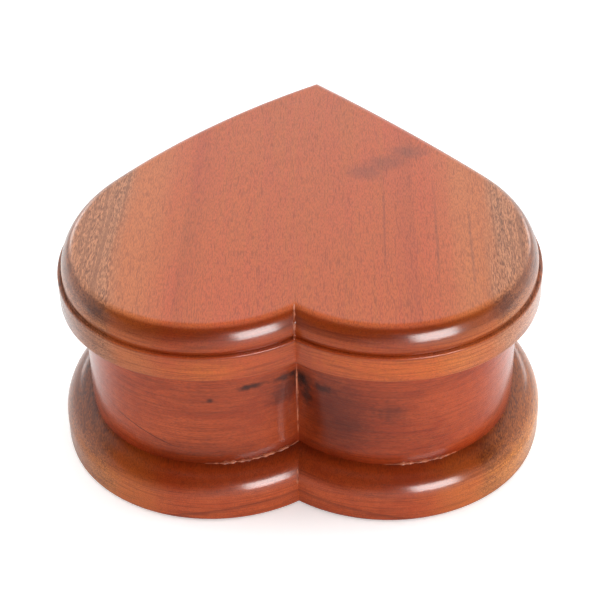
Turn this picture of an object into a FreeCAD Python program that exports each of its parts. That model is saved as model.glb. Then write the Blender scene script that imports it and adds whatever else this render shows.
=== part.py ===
import FreeCAD, Part
import math
import os
import re

import Sketcher
from FreeCAD import Placement, Rotation, Vector

# Heart-shaped wind-up music box: a moulded wooden case, a lid hinged at the rear
# point, and a cylinder movement wound by a key under the base.
# Axes: +Z up, the cleft of the heart faces -Y, the hinge is at +Y.

DIMENSIONS = [
    ("lobe_radius", 49.77),
    ("lobe_overlap", 20.61),
    ("lobe_setback", 32.871),
    ("side_growth", 15.43),
    ("side_rise", 5.666),
    ("right_flank_growth", 762.3),
    ("right_flank_drop", 476.78),
    ("left_flank_growth", 212.9),
    ("left_flank_drop", 120.95),
    ("base_overhang", 2.24),
    ("lid_overhang", 7.38),
    ("wall_thickness", 9.0),
    ("base_height", 16.5),
    ("wall_height", 40.0),
    ("fascia_height", 9.1),
    ("crown_height", 8.5),
    ("ovolo_radius", 10.6),
    ("ovolo_foot", 0.2),
    ("quirk", 0.67),
    ("base_round", 8.5),
    ("base_edge", 1.5),
    ("cutter", 200.0),
    ("seat_fit", 0.02),
    ("running_fit", 0.05),
    ("hinge_cut", 10.0),
    ("hinge_centre", 3.0),
    ("hinge_setback", 1.9),
    ("knuckle_length", 6.4),
    ("knuckle_gap", 0.3),
    ("knuckle_radius", 1.75),
    ("hinge_pin_radius", 0.8),
    ("leaf_depth", 8.0),
    ("leaf_thickness", 1.0),
    ("leaf_gap", 0.1),
    ("leaf_screw_spread", 6.0),
    ("leaf_screw_depth", 8.0),
    ("leaf_screw_radius", 0.9),
    ("leaf_screw_head", 1.7),
    ("partition_gap", 1.5),
    ("partition_thickness", 3.0),
    ("cover_level", 29.5),
    ("cover_thickness", 2.0),
    ("felt_thickness", 1.5),
    ("block_depth", 25.3),
    ("block_step", 6.0),
    ("barrel_x", -12.75),
    ("movement_setback", 58.8),
    ("bed_left", 12.0),
    ("bed_margin", 3.6),
    ("bed_front", 22.0),
    ("bed_back", 21.6),
    ("bed_thickness", 2.5),
    ("bed_corner", 4.0),
    ("bed_screw_margin", 4.5),
    ("governor_room", 13.5),
    ("recess_radius", 22.0),
    ("recess_depth", 12.5),
    ("bed_screw_radius", 1.4),
    ("bed_screw_head", 2.6),
    ("bed_screw_sink", 3.5),
    ("small_screw_radius", 0.8),
    ("small_screw_head", 1.5),
    ("small_screw_rise", 0.9),
    ("arbor_radius", 2.0),
    ("arbor_top", 12.6),
    ("key_foot", 1.5),
    ("key_hub_radius", 3.0),
    ("key_hub_gap", 0.5),
    ("key_wing_reach", 6.0),
    ("key_wing_radius", 5.0),
    ("key_wing_hole", 2.4),
    ("key_wing_thickness", 2.0),
    ("key_bridge", 3.0),
    ("key_socket", 6.0),
    ("barrel_gap", 0.3),
    ("barrel_radius", 10.6),
    ("barrel_wall", 0.8),
    ("barrel_height", 8.1),
    ("crown_teeth", 30),
    ("drive_module", 0.63333),
    ("crown_face", 2.0),
    ("pinion_teeth", 12),
    ("pinion_face", 1.6),
    ("crown_addendum", 0.55),
    ("crown_dedendum", 0.75),
    ("drive_backlash", 0.45),
    ("spring_strip", 0.35),
    ("spring_pitch", 0.95),
    ("spring_turns", 6),
    ("spring_height", 5.6),
    ("cylinder_arbor_radius", 1.2),
    ("bracket_thickness", 1.2),
    ("bracket_half", 5.0),
    ("bracket_crown", 3.2),
    ("bracket_reach", 2.8),
    ("foot_length", 6.0),
    ("foot_thickness", 1.2),
    ("foot_screw_reach", 4.2),
    ("bracket_gap", 0.6),
    ("right_bracket_offset", 4.3),
    ("drum_gap", 0.5),
    ("drum_radius", 6.5),
    ("pin_rise", 0.7),
    ("pin_radius", 0.22),
    ("tune_columns", 18),
    ("pins_in_column", 4),
    ("comb_pitch", 1.0),
    ("comb_slot", 0.3),
    ("comb_thickness", 1.0),
    ("comb_sink", 0.85),
    ("comb_gap", 0.15),
    ("comb_depth", 15.65),
    ("comb_long", 5.4),
    ("comb_step", 0.12),
    ("seat_depth", 9.0),
    ("comb_screw_spread", 5.0),
    ("train_module", 0.4),
    ("wheel_teeth", 40),
    ("governor_teeth", 10),
    ("worm_wheel_teeth", 18),
    ("worm_starts", 2),
    ("wheel_gap", 0.3),
    ("wheel_face", 1.2),
    ("worm_wheel_face", 0.5),
    ("governor_arbor_radius", 0.7),
    ("post_offset", 2.6),
    ("post_half", 1.8),
    ("worm_offset", 2.7),
    ("worm_pitch_radius", 1.2),
    ("worm_core", 0.85),
    ("worm_thread_centre", 1.05),
    ("worm_thread", 0.33),
    ("worm_turns", 2),
    ("worm_shaft_radius", 0.6),
    ("worm_shaft_rise", 8.25),
    ("frame_width", 6.0),
    ("frame_plate", 1.2),
    ("frame_foot", 1.8),
    ("frame_behind", 6.3),
    ("frame_ahead", 1.6),
    ("frame_arm_rise", 6.75),
    ("frame_screw_spread", 1.68),
    ("frame_screw_setback", 2.835),
    ("frame_screw_head", 1.275),
    ("fan_rise", 4.35),
    ("fan_height", 2.1),
    ("fan_reach", 4.3),
    ("fan_blade", 0.5),
    ("fan_hub", 1.3),
    ("rod_radius", 1.0),
    ("rod_collar", 1.6),
    ("rod_collar_height", 0.8),
    ("rod_head", 2.6),
    ("rod_head_height", 1.9),
    ("rod_clearance", 0.05),
    ("guide_radius", 2.0),
    ("guide_flange", 3.2),
    ("guide_flange_height", 1.0),
    ("guide_drop", 0.1),
    ("stop_spring_radius", 1.8),
    ("stop_spring_wire", 0.2),
    ("stop_spring_turns", 4),
]

# Values that follow from the cells, and the rear point of the wall, which its sketch measures
DERIVED = {
    "lobe_offset": "lobe_radius - lobe_overlap",
    "side_radius": "lobe_radius + side_growth",
    "right_flank_radius": "side_radius + right_flank_growth",
    "left_flank_radius": "side_radius + left_flank_growth",
    "hinge_flat": "wall_tip - hinge_cut",
    "block_front": "wall_tip - block_depth",
    "movement_y": "wall_tip - movement_setback",
    "partition_front": "movement_y - bed_front - partition_gap - partition_thickness",
    "left_bracket_start": "barrel_radius + bracket_gap",
    "drum_start": "left_bracket_start + bracket_thickness + drum_gap",
    "drum_length": "tune_columns * comb_pitch",
    "wheel_start": "drum_start + drum_length + wheel_gap",
    "post_start": "wheel_start - post_offset",
    "worm_centre": "wheel_start + worm_offset",
    "right_bracket_start": "wheel_start + right_bracket_offset",
    "bed_right": "worm_centre + bed_margin",
}
MEASURED = {"wall_tip": "(wall_outside.Constraints.wall_tip / (1 mm))"}

document = FreeCAD.newDocument("music_box")
sheet = document.addObject("Spreadsheet::Sheet", "sizes")
for row, (alias, amount) in enumerate(DIMENSIONS, start=1):
    sheet.set(f"A{row}", alias)
    sheet.set(f"B{row}", str(amount))
    sheet.setAlias(f"B{row}", alias)
document.recompute()
size = {alias: sheet.get(alias) for alias, amount in DIMENSIONS}
nodes = {}


# Formulas: sums of products of sheet cells, used as bindings and as numbers
def linked_word(word):
    name = word.group()
    if name in DERIVED:
        return "(" + linked(DERIVED[name]) + ")"
    return MEASURED.get(name, "sizes." + name)


def linked(formula):
    return re.sub(r"[a-z_]+", linked_word, formula)


def bind(thing, property_name, formula):
    thing.setExpression(property_name, linked(formula))


def value(word):
    if word in DERIVED:
        return number(DERIVED[word])
    if word in MEASURED:
        return heart_tip("lid_overhang").y
    return size[word] if word in size else float(word)


def number(formula):
    total = 0.0
    for sign, term in re.findall(r"([+-]?)([^+-]+)", formula.replace(" ", "")):
        product = -1.0 if sign == "-" else 1.0
        for factor in term.split("*"):
            product *= value(factor)
        total += product
    return total


def node(name, thing):
    thing.Label = name
    nodes[name] = thing
    return thing


# Primitives whose sizes and places are bound to the sheet
def place(thing, x, y, z):
    bind(thing, "Placement.Base.x", x)
    bind(thing, "Placement.Base.y", y)
    bind(thing, "Placement.Base.z", z)
    return thing


def box(name, x, y, z, length, width, height):
    block = document.addObject("Part::Box", name)
    bind(block, "Length", length)
    bind(block, "Width", width)
    bind(block, "Height", height)
    return place(block, x, y, z)


def cylinder(name, x, y, z, radius, length, axis=Vector(0, 0, 1)):
    rod = document.addObject("Part::Cylinder", name)
    bind(rod, "Radius", radius)
    bind(rod, "Height", length)
    rod.Placement = Placement(Vector(), Rotation(Vector(0, 0, 1), axis))
    return place(rod, x, y, z)


def fuse(name, pieces):
    joined = document.addObject("Part::MultiFuse", name)
    joined.Shapes = pieces
    return joined


def cut(name, base, tools):
    rest = document.addObject("Part::Cut", name)
    rest.Base = base
    rest.Tool = tools[0] if len(tools) == 1 else fuse(name + "_tools", tools)
    return rest


def common(name, first, second):
    shared = document.addObject("Part::Common", name)
    shared.Base = first
    shared.Tool = second
    return shared


# Bodies with sketches
def new_body(name):
    return document.addObject("PartDesign::Body", name)


def new_sketch(body, name, role, level):
    sketch = body.newObject("Sketcher::SketchObject", name)
    support = next(item for item in body.Origin.OriginFeatures if item.Role == role)
    sketch.AttachmentSupport = (support, "")
    sketch.MapMode = "FlatFace"
    bind(sketch, "AttachmentOffset.Base.z", level)
    return sketch


def measure(sketch, kind, places, formula):
    index = sketch.addConstraint(Sketcher.Constraint(kind, *places, number(formula)))
    bind(sketch, f"Constraints[{index}]", formula)


def extrude(body, kind, sketch, length, reverse=False):
    feature = body.newObject("PartDesign::" + kind, sketch.Name + "_" + kind.lower())
    feature.Profile = sketch
    feature.Reversed = reverse
    bind(feature, "Length", length)
    document.recompute()
    return feature


def round_edges(body, feature, chosen, radius):
    fillet = body.newObject("PartDesign::Fillet", feature.Name + "_round")
    names = [f"Edge{i}" for i, edge in enumerate(feature.Shape.Edges, start=1) if chosen(edge)]
    fillet.Base = (feature, names)
    bind(fillet, "Radius", radius)
    document.recompute()
    return fillet


def edge_lies_at(level):
    return lambda edge: all(abs(point.Z - number(level)) < 1e-6 for point in edge.Vertexes)


def polygon(body, name, role, level, corners):
    sketch = new_sketch(body, name, role, level)
    points = [Vector(number(across), number(up), 0) for across, up in corners]
    for start, end in zip(points, points[1:] + points[:1]):
        sketch.addGeometry(Part.LineSegment(start, end), False)
    last = len(points) - 1
    for index, (across, up) in enumerate(corners):
        before = last if index == 0 else index - 1
        sketch.addConstraint(Sketcher.Constraint("Coincident", before, 2, index, 1))
        measure(sketch, "DistanceX", (-1, 1, index, 1), across)
        measure(sketch, "DistanceY", (-1, 1, index, 1), up)
    return sketch


def prism(name, role, level, corners, length):
    body = new_body(name)
    extrude(body, "Pad", polygon(body, name + "_sketch", role, level, corners), length)
    return body


def turned(name, x, y, profile):
    body = new_body(name)
    sketch = polygon(body, name + "_sketch", "XZ_Plane", "0", profile)
    solid = body.newObject("PartDesign::Revolution", name + "_turned")
    solid.Profile = sketch
    solid.ReferenceAxis = (sketch, ["V_Axis"])
    document.recompute()
    return place(body, x, y, "0")


# Heart outline: on each side a lobe, a side and a flank arc, tangent to each other
def direction(start, end):
    return math.atan2(end.y - start.y, end.x - start.x)


def heart_half(sign, inset, flank):
    lobe_radius = number("lobe_radius")
    side_radius = number("side_radius")
    flank_radius = number(flank + "_radius")
    flank_drop = number(flank + "_drop")
    first_turn = math.asin(-size["side_rise"] / (side_radius - lobe_radius))
    second_turn = math.asin(flank_drop / (flank_radius - side_radius))
    lobe = Vector(number("lobe_offset"), -size["lobe_setback"], 0)
    side = lobe + Vector((lobe_radius - side_radius) * math.cos(first_turn), size["side_rise"], 0)
    far = side + Vector((side_radius - flank_radius) * math.cos(second_turn), -flank_drop, 0)
    centres = [Vector(sign * point.x, point.y, 0) for point in (lobe, side, far)]
    radii = [radius - inset for radius in (lobe_radius, side_radius, flank_radius)]
    return centres, radii, (first_turn, second_turn)


def heart_tip(inset):
    right, right_radii, turns = heart_half(1, number(inset), "right_flank")
    left, left_radii, turns = heart_half(-1, number(inset), "left_flank")
    between = left[2] - right[2]
    spread = between.Length
    along = (right_radii[2] ** 2 - left_radii[2] ** 2 + spread ** 2) / (2 * spread)
    rise = math.sqrt(right_radii[2] ** 2 - along ** 2)
    unit = between / spread
    return right[2] + unit * along + Vector(-unit.y, unit.x, 0) * rise


def heart_arcs(inset):
    right, right_radii, (low, high) = heart_half(1, number(inset), "right_flank")
    left, left_radii, (left_low, left_high) = heart_half(-1, number(inset), "left_flank")
    tip = heart_tip(inset)
    cleft = Vector(0, right[0].y - math.sqrt(right_radii[0] ** 2 - right[0].x ** 2), 0)
    turn = 2 * math.pi
    return [
        (right[0], right_radii[0], direction(right[0], cleft), low),
        (right[1], right_radii[1], low, high),
        (right[2], right_radii[2], high, direction(right[2], tip)),
        (left[2], left_radii[2], direction(left[2], tip), math.pi - left_high),
        (left[1], left_radii[1], math.pi - left_high, math.pi - left_low),
        (left[0], left_radii[0], math.pi - left_low, direction(left[0], cleft) + turn),
    ]


def heart_sketch(body, name, inset, level):
    sketch = new_sketch(body, name, "XY_Plane", level)
    for centre, radius, start, end in heart_arcs(inset):
        circle = Part.Circle(centre, Vector(0, 0, 1), radius)
        sketch.addGeometry(Part.ArcOfCircle(circle, start, end), False)
    for first, second in ((0, 1), (1, 2), (3, 4), (4, 5)):
        sketch.addConstraint(Sketcher.Constraint("Tangent", first, 2, second, 1))
    for first, second in ((2, 3), (5, 0)):
        sketch.addConstraint(Sketcher.Constraint("Coincident", first, 2, second, 1))
    opposite = inset.translate(str.maketrans("+-", "-+"))
    opposite = opposite if opposite.startswith("+") else "- " + opposite
    radii = ("lobe", "side", "right_flank", "left_flank", "side", "lobe")
    for index, part in enumerate(radii):
        measure(sketch, "Radius", (index,), f"{part}_radius {opposite}")
    measure(sketch, "DistanceX", (-1, 1, 0, 3), "lobe_offset")
    measure(sketch, "DistanceX", (5, 3, -1, 1), "lobe_offset")
    for lobe, side in ((0, 1), (5, 4)):
        measure(sketch, "DistanceY", (lobe, 3, -1, 1), "lobe_setback")
        measure(sketch, "DistanceY", (lobe, 3, side, 3), "side_rise")
    measure(sketch, "DistanceY", (2, 3, 1, 3), "right_flank_drop")
    measure(sketch, "DistanceY", (3, 3, 4, 3), "left_flank_drop")
    return sketch


def measure_tip(sketch, name, inset):
    index = sketch.addConstraint(
        Sketcher.Constraint("DistanceY", -1, 1, 2, 2, heart_tip(inset).y))
    sketch.setDriving(index, False)
    sketch.renameConstraint(index, name)


# Levels and lines shared by the pieces
X_AXIS = Vector(1, 0, 0)
LID_LEVEL = "base_height + wall_height"
CAVITY_INSET = "lid_overhang + wall_thickness"
BED_TOP = "base_height + bed_thickness"
BARREL_TOP = BED_TOP + " + barrel_gap + barrel_height"
SHAFT_LEVEL = BARREL_TOP + " + barrel_wall + crown_dedendum + 0.5 * drive_module * pinion_teeth"
COVER_LEVEL = "base_height + cover_level"
WORM_X = "barrel_x + worm_centre"
GOVERNOR_Y = "movement_y + 0.5 * train_module * wheel_teeth + 0.5 * train_module * governor_teeth"
WORM_Y = GOVERNOR_Y + " + 0.5 * train_module * worm_wheel_teeth + worm_pitch_radius"
HINGE_Y = "hinge_flat + hinge_setback"
HINGE_LEFT = "hinge_centre - 1.5 * knuckle_length - knuckle_gap"
HINGE_WIDTH = "3 * knuckle_length + 2 * knuckle_gap"
LEAF_BACK = "hinge_flat - leaf_depth"
LEAF_SCREW_Y = "hinge_flat - 0.5 * leaf_depth"
LEAF_SCREW_X = ["hinge_centre - leaf_screw_spread", "hinge_centre + leaf_screw_spread"]
BED_SCREWS = [
    ("barrel_x - bed_left + bed_screw_margin", "movement_y - bed_front + bed_screw_margin"),
    ("barrel_x + bed_right - bed_screw_margin", "movement_y - bed_front + bed_screw_margin"),
    ("barrel_x + bed_right - governor_room", "movement_y + bed_back - bed_screw_margin"),
]


# Screws: a slotted head on a plain shank, the head's outer face at the origin
SLOT_WIDTH = 0.3
SLOT_DEPTH = 0.4
SHANK_REACH = 0.98


def screw(head_radius, head_height, shank_radius, length, countersunk=False):
    if countersunk:
        head = Part.makeCone(shank_radius, head_radius, head_height, Vector(0, 0, -head_height))
    else:
        head = Part.makeCylinder(head_radius, head_height, Vector(0, 0, -head_height))
    shank = Part.makeCylinder(shank_radius, length, Vector(0, 0, -head_height - length))
    slot_width = SLOT_WIDTH * head_radius
    slot_depth = SLOT_DEPTH * head_height
    corner = Vector(-head_radius, -0.5 * slot_width, -slot_depth)
    slot = Part.makeBox(2 * head_radius, slot_width, slot_depth, corner)
    return head.fuse(shank).cut(slot)


def screw_group(name, pattern, spots, level, upside_down=False):
    turn = Rotation(X_AXIS, 180) if upside_down else Rotation()
    solids = []
    for x, y in spots:
        copy = pattern.copy()
        copy.Placement = Placement(Vector(number(x), number(y), number(level)), turn)
        solids.append(copy)
    return node(name, shape_object(name, Part.makeCompound(solids)))


def shape_object(name, shape):
    thing = document.addObject("Part::Feature", name)
    thing.Shape = shape
    return thing


# Base board: bullnose edge, key recess and screw sinks under it
def base_plate():
    body = new_body("base_board")
    outline = heart_sketch(body, "base_outline", "0 - base_overhang", "0")
    pad = extrude(body, "Pad", outline, "base_height")
    top = round_edges(body, pad, edge_lies_at("base_height"), "base_round")
    round_edges(body, top, edge_lies_at("0"), "base_edge")
    below = "0 - cutter"
    reach = "cutter + recess_depth"
    tools = [
        cylinder("key_recess", "barrel_x", "movement_y", below, "recess_radius", reach),
        cylinder("arbor_hole", "barrel_x", "movement_y", below,
                 "arbor_radius + running_fit", "2 * cutter"),
    ]
    for x, y in BED_SCREWS:
        tools.append(cylinder("screw_sink", x, y, below, "bed_screw_sink", reach))
        tools.append(cylinder("screw_hole", x, y, below, "bed_screw_radius + seat_fit", "2 * cutter"))
    node("base_plate", cut("base_plate_cut", body, tools))


# Wall: follows the heart, with its rear point cut flat for the hinge
def leaf_mortise():
    return box("wall_mortise", HINGE_LEFT + " - seat_fit", LEAF_BACK + " - seat_fit",
               LID_LEVEL + " - leaf_gap - leaf_thickness", HINGE_WIDTH + " + 2 * seat_fit",
               "cutter", "cutter")


def box_wall():
    body = new_body("wall_ring")
    outside = heart_sketch(body, "wall_outside", "lid_overhang", "base_height")
    measure_tip(outside, "wall_tip", "lid_overhang")
    extrude(body, "Pad", outside, "wall_height")
    inside = heart_sketch(body, "wall_inside", CAVITY_INSET, "base_height")
    extrude(body, "Pocket", inside, "wall_height", reverse=True)
    tools = [
        box("hinge_flat_cut", "0 - 0.5 * cutter", "hinge_flat", "0", "cutter", "cutter", "cutter"),
        leaf_mortise(),
    ]
    for x in LEAF_SCREW_X:
        tools.append(cylinder("wall_screw_hole", x, LEAF_SCREW_Y,
                              LID_LEVEL + " - leaf_gap - leaf_thickness - leaf_screw_depth",
                              "leaf_screw_radius + seat_fit", "cutter"))
    node("box_wall", cut("box_wall_cut", body, tools))


# Pieces cut to the inside of the wall
def inside_fittings():
    cavity = new_body("cavity")
    extrude(cavity, "Pad", heart_sketch(cavity, "cavity_outline", CAVITY_INSET + " + seat_fit",
                                        "base_height"), "wall_height")
    left = "0 - 0.5 * cutter"
    board = box("partition_box", left, "partition_front", "base_height",
                "cutter", "partition_thickness", "cover_level")
    node("partition", common("partition_board", cavity, board))
    felt = box("felt_box", left, "partition_front - cutter", "base_height",
               "cutter", "cutter", "felt_thickness")
    node("felt_lining", common("felt_sheet", cavity, felt))
    corner = box("corner_box", left, "block_front", "base_height", "cutter", "cutter", "cutter")
    step = box("corner_step", left, "block_front - cutter", COVER_LEVEL,
               "cutter", "cutter + block_step", "cutter")
    node("corner_block", cut("corner_block_cut", common("corner_solid", cavity, corner),
                             [step, leaf_mortise()]))
    sheet_box = box("cover_box", left, "partition_front", COVER_LEVEL,
                    "cutter", "block_front + block_step - seat_fit - partition_front",
                    "cover_thickness")
    guide_hole = cylinder("guide_hole", WORM_X, WORM_Y, "0", "guide_radius + seat_fit", "cutter")
    node("movement_cover", cut("movement_cover_cut", common("cover_sheet", cavity, sheet_box),
                               [guide_hole]))


# Lid: fascia, quirk and ovolo, hollowed underneath for the hinge
def lid():
    body = new_body("lid_board")
    fascia = heart_sketch(body, "fascia_outline", "0", LID_LEVEL)
    extrude(body, "Pad", fascia, "fascia_height")
    crown_level = LID_LEVEL + " + fascia_height"
    crown = heart_sketch(body, "crown_outline", "quirk", crown_level)
    pad = extrude(body, "Pad", crown, "ovolo_radius + ovolo_foot")
    round_edges(body, pad, edge_lies_at(crown_level + " + ovolo_radius + ovolo_foot"), "ovolo_radius")
    tools = [
        box("lid_top_cut", "0 - 0.5 * cutter", "0 - 0.5 * cutter", crown_level + " + crown_height",
            "cutter", "cutter", "cutter"),
        box("lid_mortise", HINGE_LEFT + " - seat_fit", LEAF_BACK + " - seat_fit", LID_LEVEL,
            HINGE_WIDTH + " + 2 * seat_fit", "leaf_depth + hinge_setback + seat_fit",
            "leaf_gap + leaf_thickness"),
        cylinder("knuckle_hollow", HINGE_LEFT + " - knuckle_gap", HINGE_Y, LID_LEVEL,
                 "knuckle_radius + knuckle_gap", HINGE_WIDTH + " + 2 * knuckle_gap", X_AXIS),
    ]
    for x in LEAF_SCREW_X:
        tools.append(cylinder("lid_screw_hole", x, LEAF_SCREW_Y, LID_LEVEL, "leaf_screw_radius + seat_fit",
                              "leaf_gap + leaf_thickness + leaf_screw_depth"))
    node("lid", cut("lid_cut", body, tools))


# Hinge: two leaves with interleaved knuckles on one pin
def knuckle(name, index, radius, spare="0"):
    start = f"{HINGE_LEFT} + {index} * knuckle_length + {index} * knuckle_gap - {spare}"
    return cylinder(name, start, HINGE_Y, LID_LEVEL, radius, f"knuckle_length + 2 * {spare}", X_AXIS)


def hinge_leaf(name, level, own, others, head_level, head_down):
    plate = box(name + "_plate", HINGE_LEFT, LEAF_BACK, level, HINGE_WIDTH,
                "leaf_depth + hinge_setback", "leaf_thickness")
    solid = fuse(name + "_joined", [plate] + [knuckle(name + "_knuckle", index, "knuckle_radius")
                                              for index in own])
    tools = [cylinder(name + "_bore", HINGE_LEFT + " - cutter", HINGE_Y, LID_LEVEL,
                      "hinge_pin_radius + seat_fit", "2 * cutter", X_AXIS)]
    for index in others:
        tools.append(knuckle(name + "_room", index, "knuckle_radius + knuckle_gap", "knuckle_gap"))
    for x in LEAF_SCREW_X:
        sink = document.addObject("Part::Cone", name + "_sink")
        bind(sink, "Radius1", "leaf_screw_radius + seat_fit" if head_down else "leaf_screw_head + seat_fit")
        bind(sink, "Radius2", "leaf_screw_head + seat_fit" if head_down else "leaf_screw_radius + seat_fit")
        bind(sink, "Height", "leaf_thickness")
        tools.append(place(sink, x, LEAF_SCREW_Y, level))
    node(name, cut(name + "_cut", solid, tools))
    pattern = screw(size["leaf_screw_head"], size["leaf_thickness"], size["leaf_screw_radius"],
                    SHANK_REACH * size["leaf_screw_depth"], countersunk=True)
    spots = [(x, LEAF_SCREW_Y) for x in LEAF_SCREW_X]
    screw_group(name.replace("leaf", "screws"), pattern, spots, head_level, upside_down=not head_down)


def hinge():
    wall_leaf = LID_LEVEL + " - leaf_gap - leaf_thickness"
    hinge_leaf("hinge_wall_leaf", wall_leaf, (0, 2), (1,), LID_LEVEL + " - leaf_gap", True)
    lid_leaf = LID_LEVEL + " + leaf_gap"
    hinge_leaf("hinge_lid_leaf", lid_leaf, (1,), (0, 2), lid_leaf, False)
    node("hinge_pin", cylinder("hinge_pin_rod", HINGE_LEFT, HINGE_Y, LID_LEVEL,
                               "hinge_pin_radius", HINGE_WIDTH, X_AXIS))


# Bedplate with the raised seat of the comb
COMB_LEVEL = SHAFT_LEVEL + " - comb_sink"
COMB_TIP = "movement_y - drum_radius - pin_rise - comb_gap"
SEAT_FRONT = "movement_y - bed_front"
FOOT_SCREWS = [
    ("barrel_x + left_bracket_start + foot_screw_reach", "movement_y"),
    ("barrel_x + right_bracket_start + bracket_thickness - foot_screw_reach", "movement_y"),
    ("barrel_x + post_start + bracket_thickness - foot_screw_reach", GOVERNOR_Y),
]
COMB_SCREWS = [
    ("barrel_x + drum_start + 0.5 * drum_length - comb_screw_spread", SEAT_FRONT + " + 0.5 * seat_depth"),
    ("barrel_x + drum_start + 0.5 * drum_length + comb_screw_spread", SEAT_FRONT + " + 0.5 * seat_depth"),
]
FRAME_SCREWS = [
    (WORM_X + " - frame_screw_spread", WORM_Y + " + frame_screw_setback"),
    (WORM_X + " + frame_screw_spread", WORM_Y + " + frame_screw_setback"),
]


def small_screw_holes(name, spots, level):
    return [cylinder(name, x, y, level, "small_screw_radius + seat_fit", "cutter") for x, y in spots]


def rectangle(left, right, front, back):
    return [(left, front), (right, front), (right, back), (left, back)]


def bedplate():
    body = new_body("bed_casting")
    outline = polygon(body, "bed_outline", "XY_Plane", "base_height", rectangle(
        "barrel_x - bed_left", "barrel_x + bed_right", SEAT_FRONT, "movement_y + bed_back"))
    pad = extrude(body, "Pad", outline, "bed_thickness")
    round_edges(body, pad, lambda edge: edge.BoundBox.XLength + edge.BoundBox.YLength < 1e-6, "bed_corner")
    seat = polygon(body, "seat_outline", "XY_Plane", BED_TOP, rectangle(
        "barrel_x + drum_start", "barrel_x + drum_start + drum_length",
        SEAT_FRONT, SEAT_FRONT + " + seat_depth"))
    extrude(body, "Pad", seat, COMB_LEVEL + " - base_height - bed_thickness")
    tools = [cylinder("bed_bore", "barrel_x", "movement_y", "0", "arbor_radius + running_fit", "cutter")]
    for x, y in BED_SCREWS:
        tools.append(cylinder("bed_screw_hole", x, y, "0", "bed_screw_radius + seat_fit", "cutter"))
    tools += small_screw_holes("foot_screw_hole", FOOT_SCREWS, "base_height")
    tools += small_screw_holes("frame_screw_hole", FRAME_SCREWS, "base_height")
    tools += small_screw_holes("seat_screw_hole", COMB_SCREWS, BED_TOP)
    node("bedplate", cut("bedplate_cut", body, tools))
    shank = SHANK_REACH * number("base_height + bed_thickness - recess_depth")
    pattern = screw(size["bed_screw_head"], size["bed_screw_radius"], size["bed_screw_radius"], shank)
    screw_group("movement_screws", pattern, BED_SCREWS, "recess_depth - bed_screw_radius", upside_down=True)


# Brackets that carry the arbors, each on a screwed foot
def bracket(name, start, foot_start, foot_front, foot_width, profile, bores, screw_spot):
    plate = prism(name + "_plate", "YZ_Plane", start, profile, "bracket_thickness")
    foot = box(name + "_foot", foot_start, foot_front, BED_TOP, "foot_length", foot_width, "foot_thickness")
    tools = small_screw_holes(name + "_screw_hole", [screw_spot], "base_height")
    for y, radius in bores:
        tools.append(cylinder(name + "_bore", "barrel_x", y, SHAFT_LEVEL, radius + " + running_fit",
                              "cutter", X_AXIS))
    solid = fuse(name + "_joined", [plate, foot])
    node(name, cut(name + "_cut", solid, tools))


def brackets():
    top = SHAFT_LEVEL + " + bracket_crown"
    front = "movement_y - bracket_half"
    back = "movement_y + bracket_half"
    left = "barrel_x + left_bracket_start"
    left_profile = [(front, BED_TOP), (back, BED_TOP), (back, SHAFT_LEVEL),
                    ("movement_y + 0.5 * bracket_half", top), ("movement_y - 0.5 * bracket_half", top),
                    (front, SHAFT_LEVEL)]
    bracket("cylinder_bracket_left", left, left, front, "2 * bracket_half", left_profile,
            [("movement_y", "cylinder_arbor_radius")], FOOT_SCREWS[0])
    right = "barrel_x + right_bracket_start"
    far = GOVERNOR_Y + " + bracket_reach"
    right_profile = [(front, BED_TOP), (far, BED_TOP), (far, top),
                     ("movement_y - 0.5 * bracket_half", top), (front, SHAFT_LEVEL)]
    bracket("cylinder_bracket_right", right, right + " + bracket_thickness - foot_length", front,
            "2 * bracket_half", right_profile,
            [("movement_y", "cylinder_arbor_radius"), (GOVERNOR_Y, "governor_arbor_radius")],
            FOOT_SCREWS[1])
    post = "barrel_x + post_start"
    near = GOVERNOR_Y + " - post_half"
    post_profile = rectangle(near, GOVERNOR_Y + " + post_half", BED_TOP, top)
    bracket("governor_arbor_post", post, post + " + bracket_thickness - foot_length", near,
            "2 * post_half", post_profile, [(GOVERNOR_Y, "governor_arbor_radius")], FOOT_SCREWS[2])
    pattern = screw(size["small_screw_head"], size["small_screw_rise"], size["small_screw_radius"],
                    SHANK_REACH * number("foot_thickness + bed_thickness"))
    screw_group("bracket_screws", pattern, FOOT_SCREWS, BED_TOP + " + foot_thickness + small_screw_rise")


# Comb: a plate slotted into teeth that shorten from bass to treble
def comb():
    plate = box("comb_plate", "barrel_x + drum_start", COMB_TIP + " - comb_depth", COMB_LEVEL,
                "drum_length", "comb_depth", "comb_thickness")
    tools = small_screw_holes("comb_screw_hole", COMB_SCREWS, COMB_LEVEL)
    for index in range(1, int(size["tune_columns"])):
        tools.append(box("comb_slot_box",
                         f"barrel_x + drum_start + {index} * comb_pitch - 0.5 * comb_slot",
                         f"{COMB_TIP} - comb_long + {index} * comb_step", "0",
                         "comb_slot", "cutter", "cutter"))
    node("comb", cut("comb_cut", plate, tools))
    pattern = screw(size["small_screw_head"], size["small_screw_rise"], size["small_screw_radius"],
                    number("comb_thickness + 0.5 * seat_depth"))
    screw_group("comb_screws", pattern, COMB_SCREWS, COMB_LEVEL + " + comb_thickness + small_screw_rise")


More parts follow.
